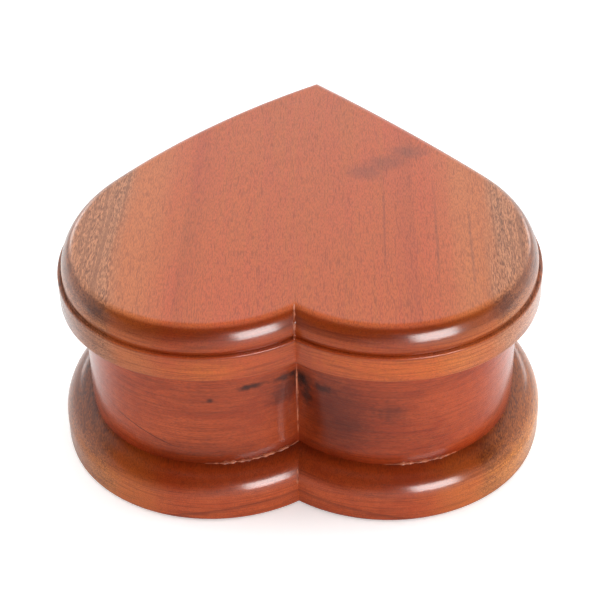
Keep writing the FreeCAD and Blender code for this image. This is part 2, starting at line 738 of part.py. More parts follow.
# Governor frame: a C of strip that holds the upright worm shaft at both ends
def governor_frame():
    front = WORM_Y + " - frame_ahead"
    back = WORM_Y + " + frame_behind"
    inner = back + " - frame_plate"
    foot_top = BED_TOP + " + frame_foot"
    arm = SHAFT_LEVEL + " + frame_arm_rise"
    arm_top = arm + " + frame_plate"
    profile = [(front, BED_TOP), (back, BED_TOP), (back, arm_top), (front, arm_top),
               (front, arm), (inner, arm), (inner, foot_top), (front, foot_top)]
    strip = prism("frame_strip", "YZ_Plane", WORM_X + " - 0.5 * frame_width", profile, "frame_width")
    tools = [cylinder("frame_pivot", WORM_X, WORM_Y, BED_TOP, "worm_shaft_radius + running_fit", "cutter")]
    for x, y in FRAME_SCREWS:
        tools.append(cylinder("frame_hole", x, y, "base_height", "small_screw_radius + seat_fit",
                              "2 * bed_thickness + frame_foot"))
    node("governor_frame", cut("governor_frame_cut", strip, tools))
    pattern = screw(size["frame_screw_head"], size["small_screw_rise"], size["small_screw_radius"],
                    SHANK_REACH * number("frame_foot + bed_thickness"))
    screw_group("governor_frame_screws", pattern, FRAME_SCREWS, foot_top + " + small_screw_rise")


# Winding key, its arbor and the spring barrel
def winder():
    hub = cylinder("key_hub", "barrel_x", "movement_y", "key_foot", "key_hub_radius",
                   "recess_depth - key_foot - key_hub_gap")
    wing_front = "movement_y - 0.5 * key_wing_thickness"
    wing_level = "key_foot + key_wing_radius"
    back_axis = Vector(0, 1, 0)
    solids = [hub, box("key_bridge", "barrel_x - key_wing_reach", wing_front,
                       wing_level + " - key_bridge", "2 * key_wing_reach",
                       "key_wing_thickness", "2 * key_bridge")]
    tools = [cylinder("key_socket_bore", "barrel_x", "movement_y", "key_socket",
                      "arbor_radius + seat_fit", "cutter")]
    for side in ("-", "+"):
        x = f"barrel_x {side} key_wing_reach"
        solids.append(cylinder("key_wing", x, wing_front, wing_level, "key_wing_radius",
                               "key_wing_thickness", back_axis))
        tools.append(cylinder("key_hole", x, wing_front, wing_level, "key_wing_hole",
                              "key_wing_thickness", back_axis))
    node("winding_key", cut("winding_key_cut", fuse("key_joined", solids), tools))
    node("winding_arbor", cylinder("arbor_rod", "barrel_x", "movement_y", "key_socket", "arbor_radius",
                                   "base_height + arbor_top - key_socket"))


def barrel():
    bore = "arbor_radius + running_fit"
    floor = BED_TOP + " + barrel_gap"
    inner = "barrel_radius - barrel_wall"
    node("spring_barrel", turned("barrel_cup", "barrel_x", "movement_y", [
        (bore, floor), ("barrel_radius", floor), ("barrel_radius", BARREL_TOP), (inner, BARREL_TOP),
        (inner, floor + " + barrel_wall"), (bore, floor + " + barrel_wall")]))
    node("barrel_cover", shape_object("crown_wheel", crown_wheel()))
    node("mainspring", shape_object("spring_strip_coil", mainspring()))


# Crown teeth stand on the barrel's cover, radial and straight-sided
def tooth_half(pitch, backlash):
    return 0.25 * (pitch - backlash)


FLANK_SLOPE = 0.36


def crown_wheel():
    teeth = int(size["crown_teeth"])
    mean = number("0.5 * drive_module * crown_teeth")
    half = tooth_half(math.pi * size["drive_module"], size["drive_backlash"])
    face = size["crown_face"]
    root = number(BARREL_TOP + " + barrel_wall")
    pitch_level = root + size["crown_dedendum"]
    tip = pitch_level + size["crown_addendum"]
    sunk = root - 0.5 * size["barrel_wall"]
    profile = [(half + FLANK_SLOPE * (pitch_level - level), level) for level in (sunk, tip)]
    outline = profile + [(-across, level) for across, level in reversed(profile)]
    corners = [Vector(mean - 0.5 * face, across, level) for across, level in outline]
    tooth = Part.Face(Part.makePolygon(corners + corners[:1])).extrude(Vector(face, 0, 0))
    solids = []
    for index in range(teeth):
        copy = tooth.copy()
        copy.rotate(Vector(), Vector(0, 0, 1), (index + 0.5) * 360.0 / teeth)
        solids.append(copy)
    base = Vector(0, 0, number(BARREL_TOP))
    disc = Part.makeCylinder(size["barrel_radius"], size["barrel_wall"], base)
    bore = Part.makeCylinder(number("arbor_radius + running_fit"), size["barrel_wall"], base)
    wheel = disc.cut(bore).multiFuse(solids)
    wheel.translate(Vector(size["barrel_x"], number("movement_y"), 0))
    return wheel


# Least gap of a coil to itself, measured on points of its middle line
def print_gap(name, points, points_in_turn, thickness):
    reach = points_in_turn // 2
    gap = min(first.distanceToPoint(second) for i, first in enumerate(points)
              for second in points[i + reach:])
    print(name, "least gap to itself", round(gap - thickness, 3))


# Mainspring: a strip coiled in half circles that widen by half a pitch
def mainspring():
    half_strip = 0.5 * size["spring_strip"]
    inner_radius = number("arbor_radius + spring_pitch - spring_strip")
    edges = []
    middle = []
    for index in range(2 * int(size["spring_turns"])):
        radius = inner_radius + 0.5 * index * size["spring_pitch"]
        centre = Vector(0.5 * size["spring_pitch"] * (index % 2), 0, 0)
        start = math.pi * index
        for offset in (-half_strip, half_strip):
            circle = Part.Circle(centre, Vector(0, 0, 1), radius + offset)
            edges.append(Part.ArcOfCircle(circle, start, start + math.pi).toShape())
        middle += [centre + Vector(radius * math.cos(start + turn), radius * math.sin(start + turn), 0)
                   for turn in (0.0, math.pi / 4, math.pi / 2, 3 * math.pi / 4)]
    print_gap("mainspring", middle, 8, size["spring_strip"])
    for first, second in ((edges[0].Vertexes[0], edges[1].Vertexes[0]),
                          (edges[-2].Vertexes[1], edges[-1].Vertexes[1])):
        edges.append(Part.makeLine(first.Point, second.Point))
    strip = Part.Face(Part.Wire(Part.__sortEdges__(edges)))
    coil = strip.extrude(Vector(0, 0, size["spring_height"]))
    level = number(BED_TOP + " + barrel_gap + 2 * barrel_wall")
    coil.translate(Vector(size["barrel_x"], number("movement_y"), level))
    return coil


# Wheels and pinions on lying arbors, a tooth at the angle given
ROOT_SPREAD = 0.2
ADDENDUM = 0.8
DEDENDUM = 1.1
BACKLASH = 0.7


def gear(teeth, module, start, face, y, bore, phase, addendum, dedendum, backlash):
    pitch_radius = 0.5 * module * teeth
    half = tooth_half(math.pi * module, backlash)
    sides = [(pitch_radius - dedendum, half + ROOT_SPREAD * dedendum),
             (pitch_radius + addendum, half - FLANK_SLOPE * addendum)]
    corners = []
    for index in range(teeth):
        middle = phase + 2 * math.pi * index / teeth
        for side, steps in ((-1, sides), (1, sides[::-1])):
            for radius, width in steps:
                angle = middle + side * width / radius
                corners.append(Vector(0, radius * math.cos(angle), radius * math.sin(angle)))
    blank = Part.Face(Part.makePolygon(corners + corners[:1])).extrude(Vector(face, 0, 0))
    wheel = blank.cut(Part.makeCylinder(bore, face, Vector(), X_AXIS))
    wheel.translate(Vector(size["barrel_x"] + start, y, number(SHAFT_LEVEL)))
    return wheel


def train_gear(teeth_name, start, face, y, bore, phase):
    module = size["train_module"]
    return gear(int(size[teeth_name]), module, start, face, y, bore, phase,
                ADDENDUM * module, DEDENDUM * module, BACKLASH * module)


def cylinder_train():
    arbor_start = "barrel_x + 0.5 * drive_module * crown_teeth - pinion_face"
    node("cylinder_arbor", cylinder(
        "cylinder_arbor_rod", arbor_start, "movement_y", SHAFT_LEVEL, "cylinder_arbor_radius",
        "right_bracket_start + 2 * bracket_thickness + pinion_face - 0.5 * drive_module * crown_teeth",
        X_AXIS))
    y = number("movement_y")
    bore = number("cylinder_arbor_radius + seat_fit")
    pinion_start = number("0.5 * drive_module * crown_teeth - 0.5 * pinion_face")
    node("cylinder_pinion", shape_object("pinion", gear(
        int(size["pinion_teeth"]), size["drive_module"], pinion_start, size["pinion_face"], y, bore,
        -0.5 * math.pi, size["crown_addendum"], size["crown_dedendum"], size["drive_backlash"])))
    node("cylinder_wheel", shape_object("great_wheel", train_gear(
        "wheel_teeth", number("wheel_start"), size["wheel_face"], y, bore, 0.0)))
    node("music_cylinder", shape_object("drum", pinned_drum(y, bore)))


# Drum: pins set round each column by a steady step, a few to each tooth of the comb
PIN_ROOT = 0.9
TUNE_STEP = 0.382
BEAT_SHIFT = 0.05
BEAT_CYCLE = 3


def pinned_drum(y, bore):
    start = Vector(number("barrel_x + drum_start"), y, number(SHAFT_LEVEL))
    drum = Part.makeCylinder(size["drum_radius"], number("drum_length"), start, X_AXIS)
    count = int(size["pins_in_column"])
    root = PIN_ROOT * size["drum_radius"]
    length = size["drum_radius"] + size["pin_rise"] - root
    pins = []
    for column in range(int(size["tune_columns"])):
        middle = start + Vector((column + 0.5) * size["comb_pitch"], 0, 0)
        for beat in range(count):
            turn = beat / count + TUNE_STEP * column + BEAT_SHIFT * beat * (column % BEAT_CYCLE)
            angle = 2 * math.pi * turn
            outward = Vector(0, math.cos(angle), math.sin(angle))
            pins.append(Part.makeCylinder(size["pin_radius"], length, middle + outward * root, outward))
    return drum.multiFuse(pins).cut(Part.makeCylinder(bore, number("drum_length"), start, X_AXIS))


def governor_train():
    node("governor_arbor", cylinder(
        "governor_arbor_rod", "barrel_x + post_start", GOVERNOR_Y, SHAFT_LEVEL, "governor_arbor_radius",
        "right_bracket_start + bracket_thickness - post_start", X_AXIS))
    y = number(GOVERNOR_Y)
    bore = number("governor_arbor_radius + seat_fit")
    half_pitch = math.pi / size["governor_teeth"]
    node("governor_pinion", shape_object("small_pinion", train_gear(
        "governor_teeth", number("wheel_start"), size["wheel_face"], y, bore, half_pitch)))
    start = number("worm_centre - 0.5 * worm_wheel_face")
    node("worm_wheel", shape_object("thin_wheel", train_gear(
        "worm_wheel_teeth", start, size["worm_wheel_face"], y, bore, 0.0)))


# Helix of tangent arcs, two to each quarter turn
def arc_from(start, corner, end):
    middle = (start + end) * 0.5
    half_chord = 0.5 * start.distanceToPoint(end)
    lean = math.acos(half_chord / start.distanceToPoint(corner))
    top = middle + (corner - middle).normalize() * half_chord * math.tan(0.5 * lean)
    return Part.Arc(start, top, end).toShape()


def helix_point(radius, lead, angle, turned_by):
    total = angle + turned_by
    point = Vector(radius * math.cos(total), radius * math.sin(total), lead * turned_by / (2 * math.pi))
    tangent = Vector(-radius * math.sin(total), radius * math.cos(total), lead / (2 * math.pi))
    return point, tangent.normalize()


def helix(radius, lead, turns, angle):
    edges = []
    for index in range(4 * int(turns)):
        start, leaving = helix_point(radius, lead, angle, 0.5 * math.pi * index)
        end, arriving = helix_point(radius, lead, angle, 0.5 * math.pi * (index + 1))
        span = end - start
        bend = 2 * (1 - leaving.dot(arriving))
        run = span.dot(leaving + arriving)
        reach = (-run + math.sqrt(run ** 2 + bend * span.dot(span))) / bend
        first = start + leaving * reach
        second = end - arriving * reach
        joint = (first + second) * 0.5
        edges += [arc_from(start, first, joint), arc_from(joint, second, end)]
    return Part.Wire(edges)


def wire_coil(radius, lead, turns, angle, wire_radius):
    path = helix(radius, lead, turns, angle)
    start, tangent = helix_point(radius, lead, angle, 0.0)
    section = Part.Wire([Part.Circle(start, tangent, wire_radius).toShape()])
    return path, path.makePipeShell([section], True, False)


# Worm shaft: two round-bottomed threads wound on a core, standing in the frame
CORE_SPARE = 0.1


def worm_shaft():
    lead = math.pi * size["train_module"] * size["worm_starts"]
    thread_length = lead * size["worm_turns"]
    middle = number(SHAFT_LEVEL)
    low = middle + 0.5 * math.pi * size["train_module"] - 0.5 * thread_length
    foot = number(BED_TOP) + size["running_fit"]
    top = middle + size["worm_shaft_rise"]
    shaft = Part.makeCylinder(size["worm_shaft_radius"], top - foot, Vector(0, 0, foot))
    spare = CORE_SPARE * thread_length
    core = Part.makeCylinder(size["worm_core"], thread_length + 2 * spare, Vector(0, 0, low - spare))
    solid = shaft.fuse(core)
    for start in range(int(size["worm_starts"])):
        angle = -0.5 * math.pi + 2 * math.pi * start / size["worm_starts"]
        path, thread = wire_coil(size["worm_thread_centre"], lead, size["worm_turns"], angle,
                                 size["worm_thread"])
        thread.translate(Vector(0, 0, low))
        solid = solid.fuse(thread)
    solid.translate(Vector(number(WORM_X), number(WORM_Y), 0))
    node("worm_shaft", shape_object("worm", solid))


def fan():
    level = SHAFT_LEVEL + " + fan_rise"
    hub = cylinder("fan_hub_rod", WORM_X, WORM_Y, level, "fan_hub", "fan_height")
    blades = box("fan_blades", WORM_X + " - fan_reach", WORM_Y + " - 0.5 * fan_blade", level,
                 "2 * fan_reach", "fan_blade", "fan_height")
    bore = cylinder("fan_bore", WORM_X, WORM_Y, level, "worm_shaft_radius + seat_fit", "fan_height")
    node("fan", cut("fan_cut", fuse("fan_joined", [hub, blades]), [bore]))


# Stop: a rod under the lid that presses on the worm shaft while the box is shut
def stop():
    cover_top = COVER_LEVEL + " + cover_thickness"
    flange_top = cover_top + " + guide_flange_height"
    bore = "rod_radius + running_fit"
    guide_foot = COVER_LEVEL + " - guide_drop"
    node("rod_guide", turned("guide_bush", WORM_X, WORM_Y, [
        (bore, guide_foot), ("guide_radius", guide_foot), ("guide_radius", cover_top),
        ("guide_flange", cover_top), ("guide_flange", flange_top), (bore, flange_top)]))
    foot = SHAFT_LEVEL + " + worm_shaft_rise + rod_clearance"
    collar_top = foot + " + rod_collar_height"
    top = LID_LEVEL + " - rod_clearance"
    head_foot = top + " - rod_head_height"
    node("stop_rod", turned("plunger", WORM_X, WORM_Y, [
        ("0", foot), ("rod_collar", foot), ("rod_collar", collar_top), ("rod_radius", collar_top),
        ("rod_radius", head_foot), ("rod_head", head_foot), ("rod_head", top), ("0", top)]))
    wire = size["stop_spring_wire"]
    low = number(flange_top) + wire + size["rod_clearance"]
    high = number(head_foot) - wire - size["rod_clearance"]
    lead = (high - low) / size["stop_spring_turns"]
    path, coil = wire_coil(size["stop_spring_radius"], lead, size["stop_spring_turns"], 0.0, wire)
    points = [edge.valueAt(edge.FirstParameter) for edge in path.Edges]
    print_gap("stop_spring", points, 8, 2 * wire)
    coil.translate(Vector(number(WORM_X), number(WORM_Y), low))
    node("stop_spring", shape_object("stop_spring_coil", coil))


def check_document():
    document.recompute()
    failed = [item.Name for item in document.Objects if {"Invalid", "Error"} & set(item.State)]
    if failed:
        raise RuntimeError("failed objects: " + ", ".join(failed))
    for name, thing in nodes.items():
        if thing.Shape.isNull() or not thing.Shape.isValid():
            raise RuntimeError("bad shape: " + name)


def write_parts():
    os.makedirs("parts", exist_ok=True)
    for name, thing in nodes.items():
        thing.Shape.exportStep(f"parts/{name}.step")
        print(name, len(thing.Shape.Solids), round(thing.Shape.Volume, 2))


box_wall()
base_plate()
inside_fittings()
lid()
hinge()
bedplate()
brackets()
comb()
governor_frame()
winder()
barrel()
cylinder_train()
governor_train()
worm_shaft()
fan()
stop()
check_document()
write_parts()
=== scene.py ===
# %% [markdown]
# # A heart-shaped wind-up music box
# The box is a turned-looking heart of red hardwood under clear gloss lacquer: a thick base with a
# rounded edge, an upright wall, and a lid with a moulded rim that lifts on one small hinge at the
# rear point. Under the lid a felt-lined compartment fills the lobes, and a clear sheet covers the
# cylinder movement. This lesson dresses the fixed model of all these pieces: it gives each one its
# finish, adds the few soft or runny pieces that solids can't show, and sets up the light and camera.

# %% Load the fixed model
import math

import bmesh
import bpy
from mathutils import Matrix, Vector


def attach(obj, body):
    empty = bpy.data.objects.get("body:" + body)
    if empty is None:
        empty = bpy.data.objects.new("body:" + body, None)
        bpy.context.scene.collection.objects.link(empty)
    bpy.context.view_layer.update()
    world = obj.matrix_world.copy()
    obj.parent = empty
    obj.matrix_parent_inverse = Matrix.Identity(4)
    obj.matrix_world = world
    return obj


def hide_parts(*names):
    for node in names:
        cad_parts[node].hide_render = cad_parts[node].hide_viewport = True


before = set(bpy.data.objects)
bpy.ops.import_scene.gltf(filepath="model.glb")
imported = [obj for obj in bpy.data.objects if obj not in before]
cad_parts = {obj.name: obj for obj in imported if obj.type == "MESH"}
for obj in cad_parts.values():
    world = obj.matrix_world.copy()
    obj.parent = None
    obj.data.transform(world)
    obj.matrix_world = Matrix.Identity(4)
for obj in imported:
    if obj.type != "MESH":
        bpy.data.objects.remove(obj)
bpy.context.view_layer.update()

# %% [markdown]
# ## Small helpers for shader nodes
# A finish here is a small network of nodes. Wiring it by hand in the editor means adding a node,
# setting its options and dragging links, so the helpers do just that: one adds a node and fills its
# sockets with either a value or another node's output, and a few name the sums used most often.

# %% Helpers that add and wire nodes
def wire(tree, value, socket):
    if isinstance(value, bpy.types.NodeSocket):
        tree.links.new(value, socket)
    else:
        socket.default_value = value


def add(tree, kind, sockets, **options):
    node = tree.nodes.new("ShaderNode" + kind)
    for name, option in options.items():
        setattr(node, name, option)
    for name, value in sockets.items():
        wire(tree, value, node.inputs[name])
    return node


def calc(tree, operation, *values):
    return add(tree, "Math", dict(enumerate(values)), operation=operation).outputs[0]


def vector_calc(tree, operation, first, second):
    return add(tree, "VectorMath", {0: first, 1: second}, operation=operation).outputs[0]


def mix(tree, amount, first, second, blend="MIX"):
    node = add(tree, "Mix", {0: amount, 6: first, 7: second}, data_type="RGBA", blend_type=blend)
    return node.outputs[2]


def fade(tree, value, start, end):
    sockets = {"Value": value, "From Min": start, "From Max": end}
    return add(tree, "MapRange", sockets, interpolation_type="SMOOTHSTEP").outputs["Result"]


def noise(tree, vector, stretch, detail=2.0, output="Fac"):
    place = vector_calc(tree, "MULTIPLY", vector, stretch)
    return add(tree, "TexNoise", {"Vector": place, "Scale": 1.0, "Detail": detail}).outputs[output]


print("node helpers ready")

# %% Colours as a painter names them, from 0 to 255, turned to the shader's linear scale
def channel(amount):
    share = amount / 255
    return share / 12.92 if share <= 0.04045 else ((share + 0.055) / 1.055) ** 2.4


def paint(red, green, blue):
    return (channel(red), channel(green), channel(blue), 1.0)


print("lid red on the shader's scale:", [round(part, 3) for part in paint(190, 104, 72)])

# %% A node group with named sockets
SOCKETS = {"vector": "NodeSocketVector", "colour": "NodeSocketColor", "value": "NodeSocketFloat"}


def shader_group(name, inputs, outputs):
    tree = bpy.data.node_groups.new(name, "ShaderNodeTree")
    for label, kind in inputs.items():
        tree.interface.new_socket(name=label, in_out="INPUT", socket_type=SOCKETS[kind])
    for label, kind in outputs.items():
        tree.interface.new_socket(name=label, in_out="OUTPUT", socket_type=SOCKETS[kind])
    source = tree.nodes.new("NodeGroupInput").outputs
    result = tree.nodes.new("NodeGroupOutput").inputs
    return tree, source, result


print("kinds of socket:", ", ".join(SOCKETS))

# %% [markdown]
# ## Timber
# The lid and base are flat boards with the grain from front to back: red heartwood in the middle and
# pale, speckled sapwood along both sides. A picture of wood would smear on the moulded rim, where the
# cutter runs from face grain into end grain. So the timber is solid, as in a real plank: growth rings
# are cylinders round a line far below the board, pores are short tubes along the grain, and every
# surface simply shows what it cuts through. Cut sides also show fine level lines, where the cutter ran
# along the layers. All lengths in the group are millimetres.

# %% The timber group's sockets and the bent grain
timber, wood_in, wood_out = shader_group(
    "timber",
    {"Vector": "vector", "Normal": "vector", "Heart": "colour", "Streak": "colour", "Gold": "colour",
     "Sap": "colour", "Left Sap": "value", "Right Sap": "value", "Pith Depth": "value",
     "Ring Gap": "value", "End Shade": "value", "Speckle": "value"},
    {"Color": "colour", "Roughness": "value", "Height": "value"})
sway = noise(timber, wood_in["Vector"], (0.02, 0.006, 0.02), output="Color")
sway = vector_calc(timber, "SUBTRACT", sway, (0.5, 0.5, 0.5))
sway = vector_calc(timber, "MULTIPLY", sway, (6.0, 0.0, 1.5))
bent = vector_calc(timber, "ADD", wood_in["Vector"], sway)
across, along, up = add(timber, "SeparateXYZ", {0: bent}).outputs
print("timber inputs:", len(wood_in), "outputs:", len(wood_out))

# %% Growth rings, each with its own strength
depth = calc(timber, "ADD", up, wood_in["Pith Depth"])
radius = calc(timber, "SQRT", calc(timber, "ADD", calc(timber, "POWER", across, 2.0),
                                   calc(timber, "POWER", depth, 2.0)))
rings = calc(timber, "DIVIDE", radius, wood_in["Ring Gap"])
ring_number = calc(timber, "FLOOR", rings)
ring_strength = add(timber, "TexWhiteNoise", {"W": ring_number}, noise_dimensions="1D").outputs["Value"]
ring_place = calc(timber, "FRACT", rings)
late_wood = calc(timber, "MULTIPLY", fade(timber, ring_place, 0.45, 0.93),
                 fade(timber, ring_place, 1.0, 0.95))
late_wood = calc(timber, "MULTIPLY", late_wood, calc(timber, "POWER", ring_strength, 2.0))
print("ring nodes:", len(timber.nodes))

# %% Pores, long streaks and slow changes of tone
pores = fade(timber, noise(timber, bent, (2.8, 0.22, 2.8), 1.5), 0.54, 0.68)
fine_pores = fade(timber, noise(timber, bent, (4.6, 0.6, 4.6), 1.0), 0.42, 0.66)
streaks = noise(timber, bent, (0.55, 0.012, 0.55), 3.0)
clouds = noise(timber, bent, (0.045, 0.018, 0.045), 2.0)
print("pore and tone nodes:", len(timber.nodes))

# %% Heartwood colour
tone = calc(timber, "ADD", calc(timber, "MULTIPLY", fade(timber, streaks, 0.3, 0.7), 0.45),
            calc(timber, "MULTIPLY", fade(timber, clouds, 0.35, 0.65), 0.55))
heart = mix(timber, tone, wood_in["Heart"], wood_in["Streak"])
facing = add(timber, "SeparateXYZ", {0: wood_in["Normal"]}).outputs
end_grain = fade(timber, calc(timber, "ABSOLUTE", facing[1]), 0.35, 0.95)
ring_shade = calc(timber, "MULTIPLY", late_wood, calc(timber, "MULTIPLY_ADD", end_grain, 0.4, 0.22))
heart = mix(timber, ring_shade, heart, paint(112, 48, 30))
print("heartwood mixed from", len(timber.links), "links")

# %% Sapwood at both sides, with a golden band before it
edge = calc(timber, "MAXIMUM", calc(timber, "SUBTRACT", across, wood_in["Right Sap"]),
            calc(timber, "SUBTRACT", wood_in["Left Sap"], across))
wander = calc(timber, "SUBTRACT", noise(timber, bent, (0.16, 0.02, 0.16), 3.0), 0.5)
edge = calc(timber, "ADD", edge, calc(timber, "MULTIPLY", wander, 9.0))
sap_share = fade(timber, edge, -2.5, 4.0)
speckle = fade(timber, noise(timber, bent, (3.0, 0.40, 3.0), 2.0), 0.44, 0.62)
speckle = calc(timber, "MULTIPLY", speckle,
               calc(timber, "MULTIPLY_ADD", noise(timber, bent, (0.35, 0.01, 0.35), 2.0), 1.4, 0.2))
veins = fade(timber, noise(timber, bent, (0.75, 0.008, 0.75), 2.0), 0.50, 0.64)
veins = calc(timber, "MULTIPLY", veins, 0.60)
dark_sap = calc(timber, "MULTIPLY", calc(timber, "MAXIMUM", speckle, veins), wood_in["Speckle"])
sap = mix(timber, dark_sap, wood_in["Sap"], paint(88, 46, 24))
gold_share = calc(timber, "MULTIPLY", fade(timber, edge, -22.0, -4.0), 0.80)
colour = mix(timber, gold_share, heart, wood_in["Gold"])
colour = mix(timber, sap_share, colour, sap)
print("sapwood nodes:", len(timber.nodes))

# %% Pores and end grain darken the colour, and the group gives its results
pore_shade = calc(timber, "MAXIMUM", calc(timber, "MULTIPLY", pores, 0.48),
                  calc(timber, "MULTIPLY", fine_pores, 0.40))
colour = mix(timber, pore_shade, colour, paint(104, 44, 20))
cut_side = fade(timber, calc(timber, "ABSOLUTE", facing[2]), 0.9, 0.4)
layers = fade(timber, noise(timber, bent, (0.05, 0.05, 2.0), 3.0), 0.46, 0.64)
layers = calc(timber, "MULTIPLY", calc(timber, "MULTIPLY", layers, cut_side), 0.36)
colour = mix(timber, layers, colour, paint(104, 40, 18))
shade = calc(timber, "MULTIPLY", end_grain, wood_in["End Shade"])
colour = mix(timber, shade, colour, (0.55, 0.33, 0.22, 1.0), "MULTIPLY")
wire(timber, colour, wood_out["Color"])
wire(timber, calc(timber, "MULTIPLY_ADD", pores, 0.14, 0.30), wood_out["Roughness"])
hollow = calc(timber, "ADD", calc(timber, "MULTIPLY", pores, -1.0),
              calc(timber, "MULTIPLY", speckle, -0.3))
wire(timber, hollow, wood_out["Height"])
print("timber group finished:", len(timber.nodes), "nodes")

# %% [markdown]
# ## Marks in the wood
# Hand-picked timber still has knots, mineral streaks and smudges. Each mark is a soft egg-shaped
# patch round a chosen point, with its outline broken by noise, and a hairline crack is the same patch
# made very thin and tilted. A group keeps the sum in one place, and each mark then needs only its
# middle, its reach along the three axes, its tilt and how ragged it is. A mark multiplies the colour
# under it, so the grain still shows through. One long mark low on the wall's left lobe is painted shade
# from the base's ledge, partly a tint of lacquer.

# %% The mark group
mark, mark_in, mark_out = shader_group(
    "mark",
    {"Vector": "vector", "Middle": "vector", "Reach": "vector", "Tilt": "value", "Ragged": "value"},
    {"Mask": "value"})
offset = vector_calc(mark, "SUBTRACT", mark_in["Vector"], mark_in["Middle"])
tilted = add(mark, "VectorRotate", {"Vector": offset, "Angle": mark_in["Tilt"]}, rotation_type="Y_AXIS")
offset = tilted.outputs[0]
offset = vector_calc(mark, "DIVIDE", offset, mark_in["Reach"])
distance = add(mark, "VectorMath", {0: offset}, operation="LENGTH").outputs["Value"]
rough_edge = calc(mark, "SUBTRACT", noise(mark, mark_in["Vector"], (0.5, 0.5, 0.5), 4.0), 0.5)
distance = calc(mark, "ADD", distance, calc(mark, "MULTIPLY", rough_edge, mark_in["Ragged"]))
wire(mark, fade(mark, distance, 1.0, 0.15), mark_out["Mask"])
print("mark group:", len(mark.nodes), "nodes")

# %% [markdown]
# ## Lacquered and bare wood
# Over the timber lies a clear gloss lacquer, thick enough to round the moulding's corners and to give
# sharp highlights. The shader's coat is just such a clear layer, so each wood sets it once and leaves
# the colour below to the timber group. A slow ripple in the bump stands for the hand-rubbed film, and
# bands at chosen heights paint shade into the wood's colour: on the moulding where it turns from the
# light, in the groove under it, on the base's round under the lid, and at the wall's foot, there partly
# a tint of lacquer.

# %% Start of every material: its shader and its place in millimetres
def new_material(name, **sockets):
    material = bpy.data.materials.new(name)
    material.use_nodes = True
    tree = material.node_tree
    shader = tree.nodes["Principled BSDF"]
    for label, value in sockets.items():
        shader.inputs[label.replace("_", " ")].default_value = value
    return material, tree, shader


IN_PLACE = (0.0, 0.0, 0.0)
QUARTER_TURN = (0.0, 0.0, 0.5 * math.pi)
PER_METRE = (1000.0, 1000.0, 1000.0)


def millimetres(tree, turn=IN_PLACE, shift=IN_PLACE):
    place = add(tree, "TexCoord", {}).outputs["Object"]
    sockets = {"Vector": place, "Scale": PER_METRE, "Rotation": turn, "Location": shift}
    return add(tree, "Mapping", sockets).outputs[0]


def surface_normal(tree, turn=IN_PLACE):
    normal = add(tree, "TexCoord", {}).outputs["Normal"]
    return add(tree, "Mapping", {"Vector": normal, "Rotation": turn}, vector_type="VECTOR").outputs[0]


print("materials start from object coordinates in millimetres")

# %% A wood finish from the timber group
def use_group(tree, group, **sockets):
    node = add(tree, "Group", {}, node_tree=group)
    for label, value in sockets.items():
        wire(tree, value, node.inputs[label.replace("_", " ")])
    return node.outputs


def wood(name, turn, shift, coat, ripple, marks, bands, **grain):
    material, tree, shader = new_material(name, Coat_Weight=coat, Coat_Roughness=0.18, Coat_IOR=1.5,
                                          Specular_IOR_Level=0.15)
    own = use_group(tree, timber, Vector=millimetres(tree, turn, shift), Normal=surface_normal(tree, turn),
                    **grain)
    colour = own["Color"]
    plain = millimetres(tree)
    for strength, shade, sockets in marks:
        mask = use_group(tree, mark, Vector=plain, **sockets)["Mask"]
        colour = mix(tree, calc(tree, "MULTIPLY", mask, strength), colour, shade, "MULTIPLY")
    level = add(tree, "SeparateXYZ", {0: plain}).outputs[2]
    # Each band multiplies in a painted shade between two heights.
    for bottom, full, ebb, top, shade in bands:
        band = calc(tree, "MULTIPLY", fade(tree, level, bottom, full), fade(tree, level, top, ebb))
        colour = mix(tree, band, colour, shade, "MULTIPLY")
    wire(tree, colour, shader.inputs["Base Color"])
    wire(tree, own["Roughness"], shader.inputs["Roughness"])
    film = calc(tree, "MULTIPLY_ADD", noise(tree, plain, (0.7, 0.7, 0.7), 1.0), 0.12,
                noise(tree, plain, (0.11, 0.11, 0.16), 2.0))
    height = calc(tree, "ADD", calc(tree, "MULTIPLY", own["Height"], 0.10),
                  calc(tree, "MULTIPLY", film, ripple))
    bump = add(tree, "Bump", {"Height": height, "Strength": 1.0, "Distance": 0.0003})
    wire(tree, bump.outputs[0], shader.inputs["Normal"])
    return material


def spot(middle, reach, ragged, strength, shade, tilt=0.0):
    return strength, shade, {"Middle": middle, "Reach": reach, "Ragged": ragged, "Tilt": tilt}


HAIRLINE_TILT = math.radians(-17.7)
BLACKENED = (0.05, 0.05, 0.10, 1.0)
DUSKY = (0.34, 0.40, 0.80, 1.0)
BROWNED = (0.30, 0.20, 0.13, 1.0)
REDDENED = (0.28, 0.18, 0.16, 1.0)
GILDED = (1.30, 1.45, 1.10, 1.0)
# Painted shade: the next three tints are multiplied in as bands where the moulding turns from the light
# and where a groove or an overhang shades the wood.
WARM_PAINTED_SHADE = (0.84, 0.70, 0.45, 1.0)
DEEP_PAINTED_SHADE = (0.46, 0.33, 0.19, 1.0)
SHADOWED = (0.72, 0.56, 0.45, 1.0)
print("wood finish ready; darkest mark:", [round(part, 3) for part in BLACKENED[:3]])

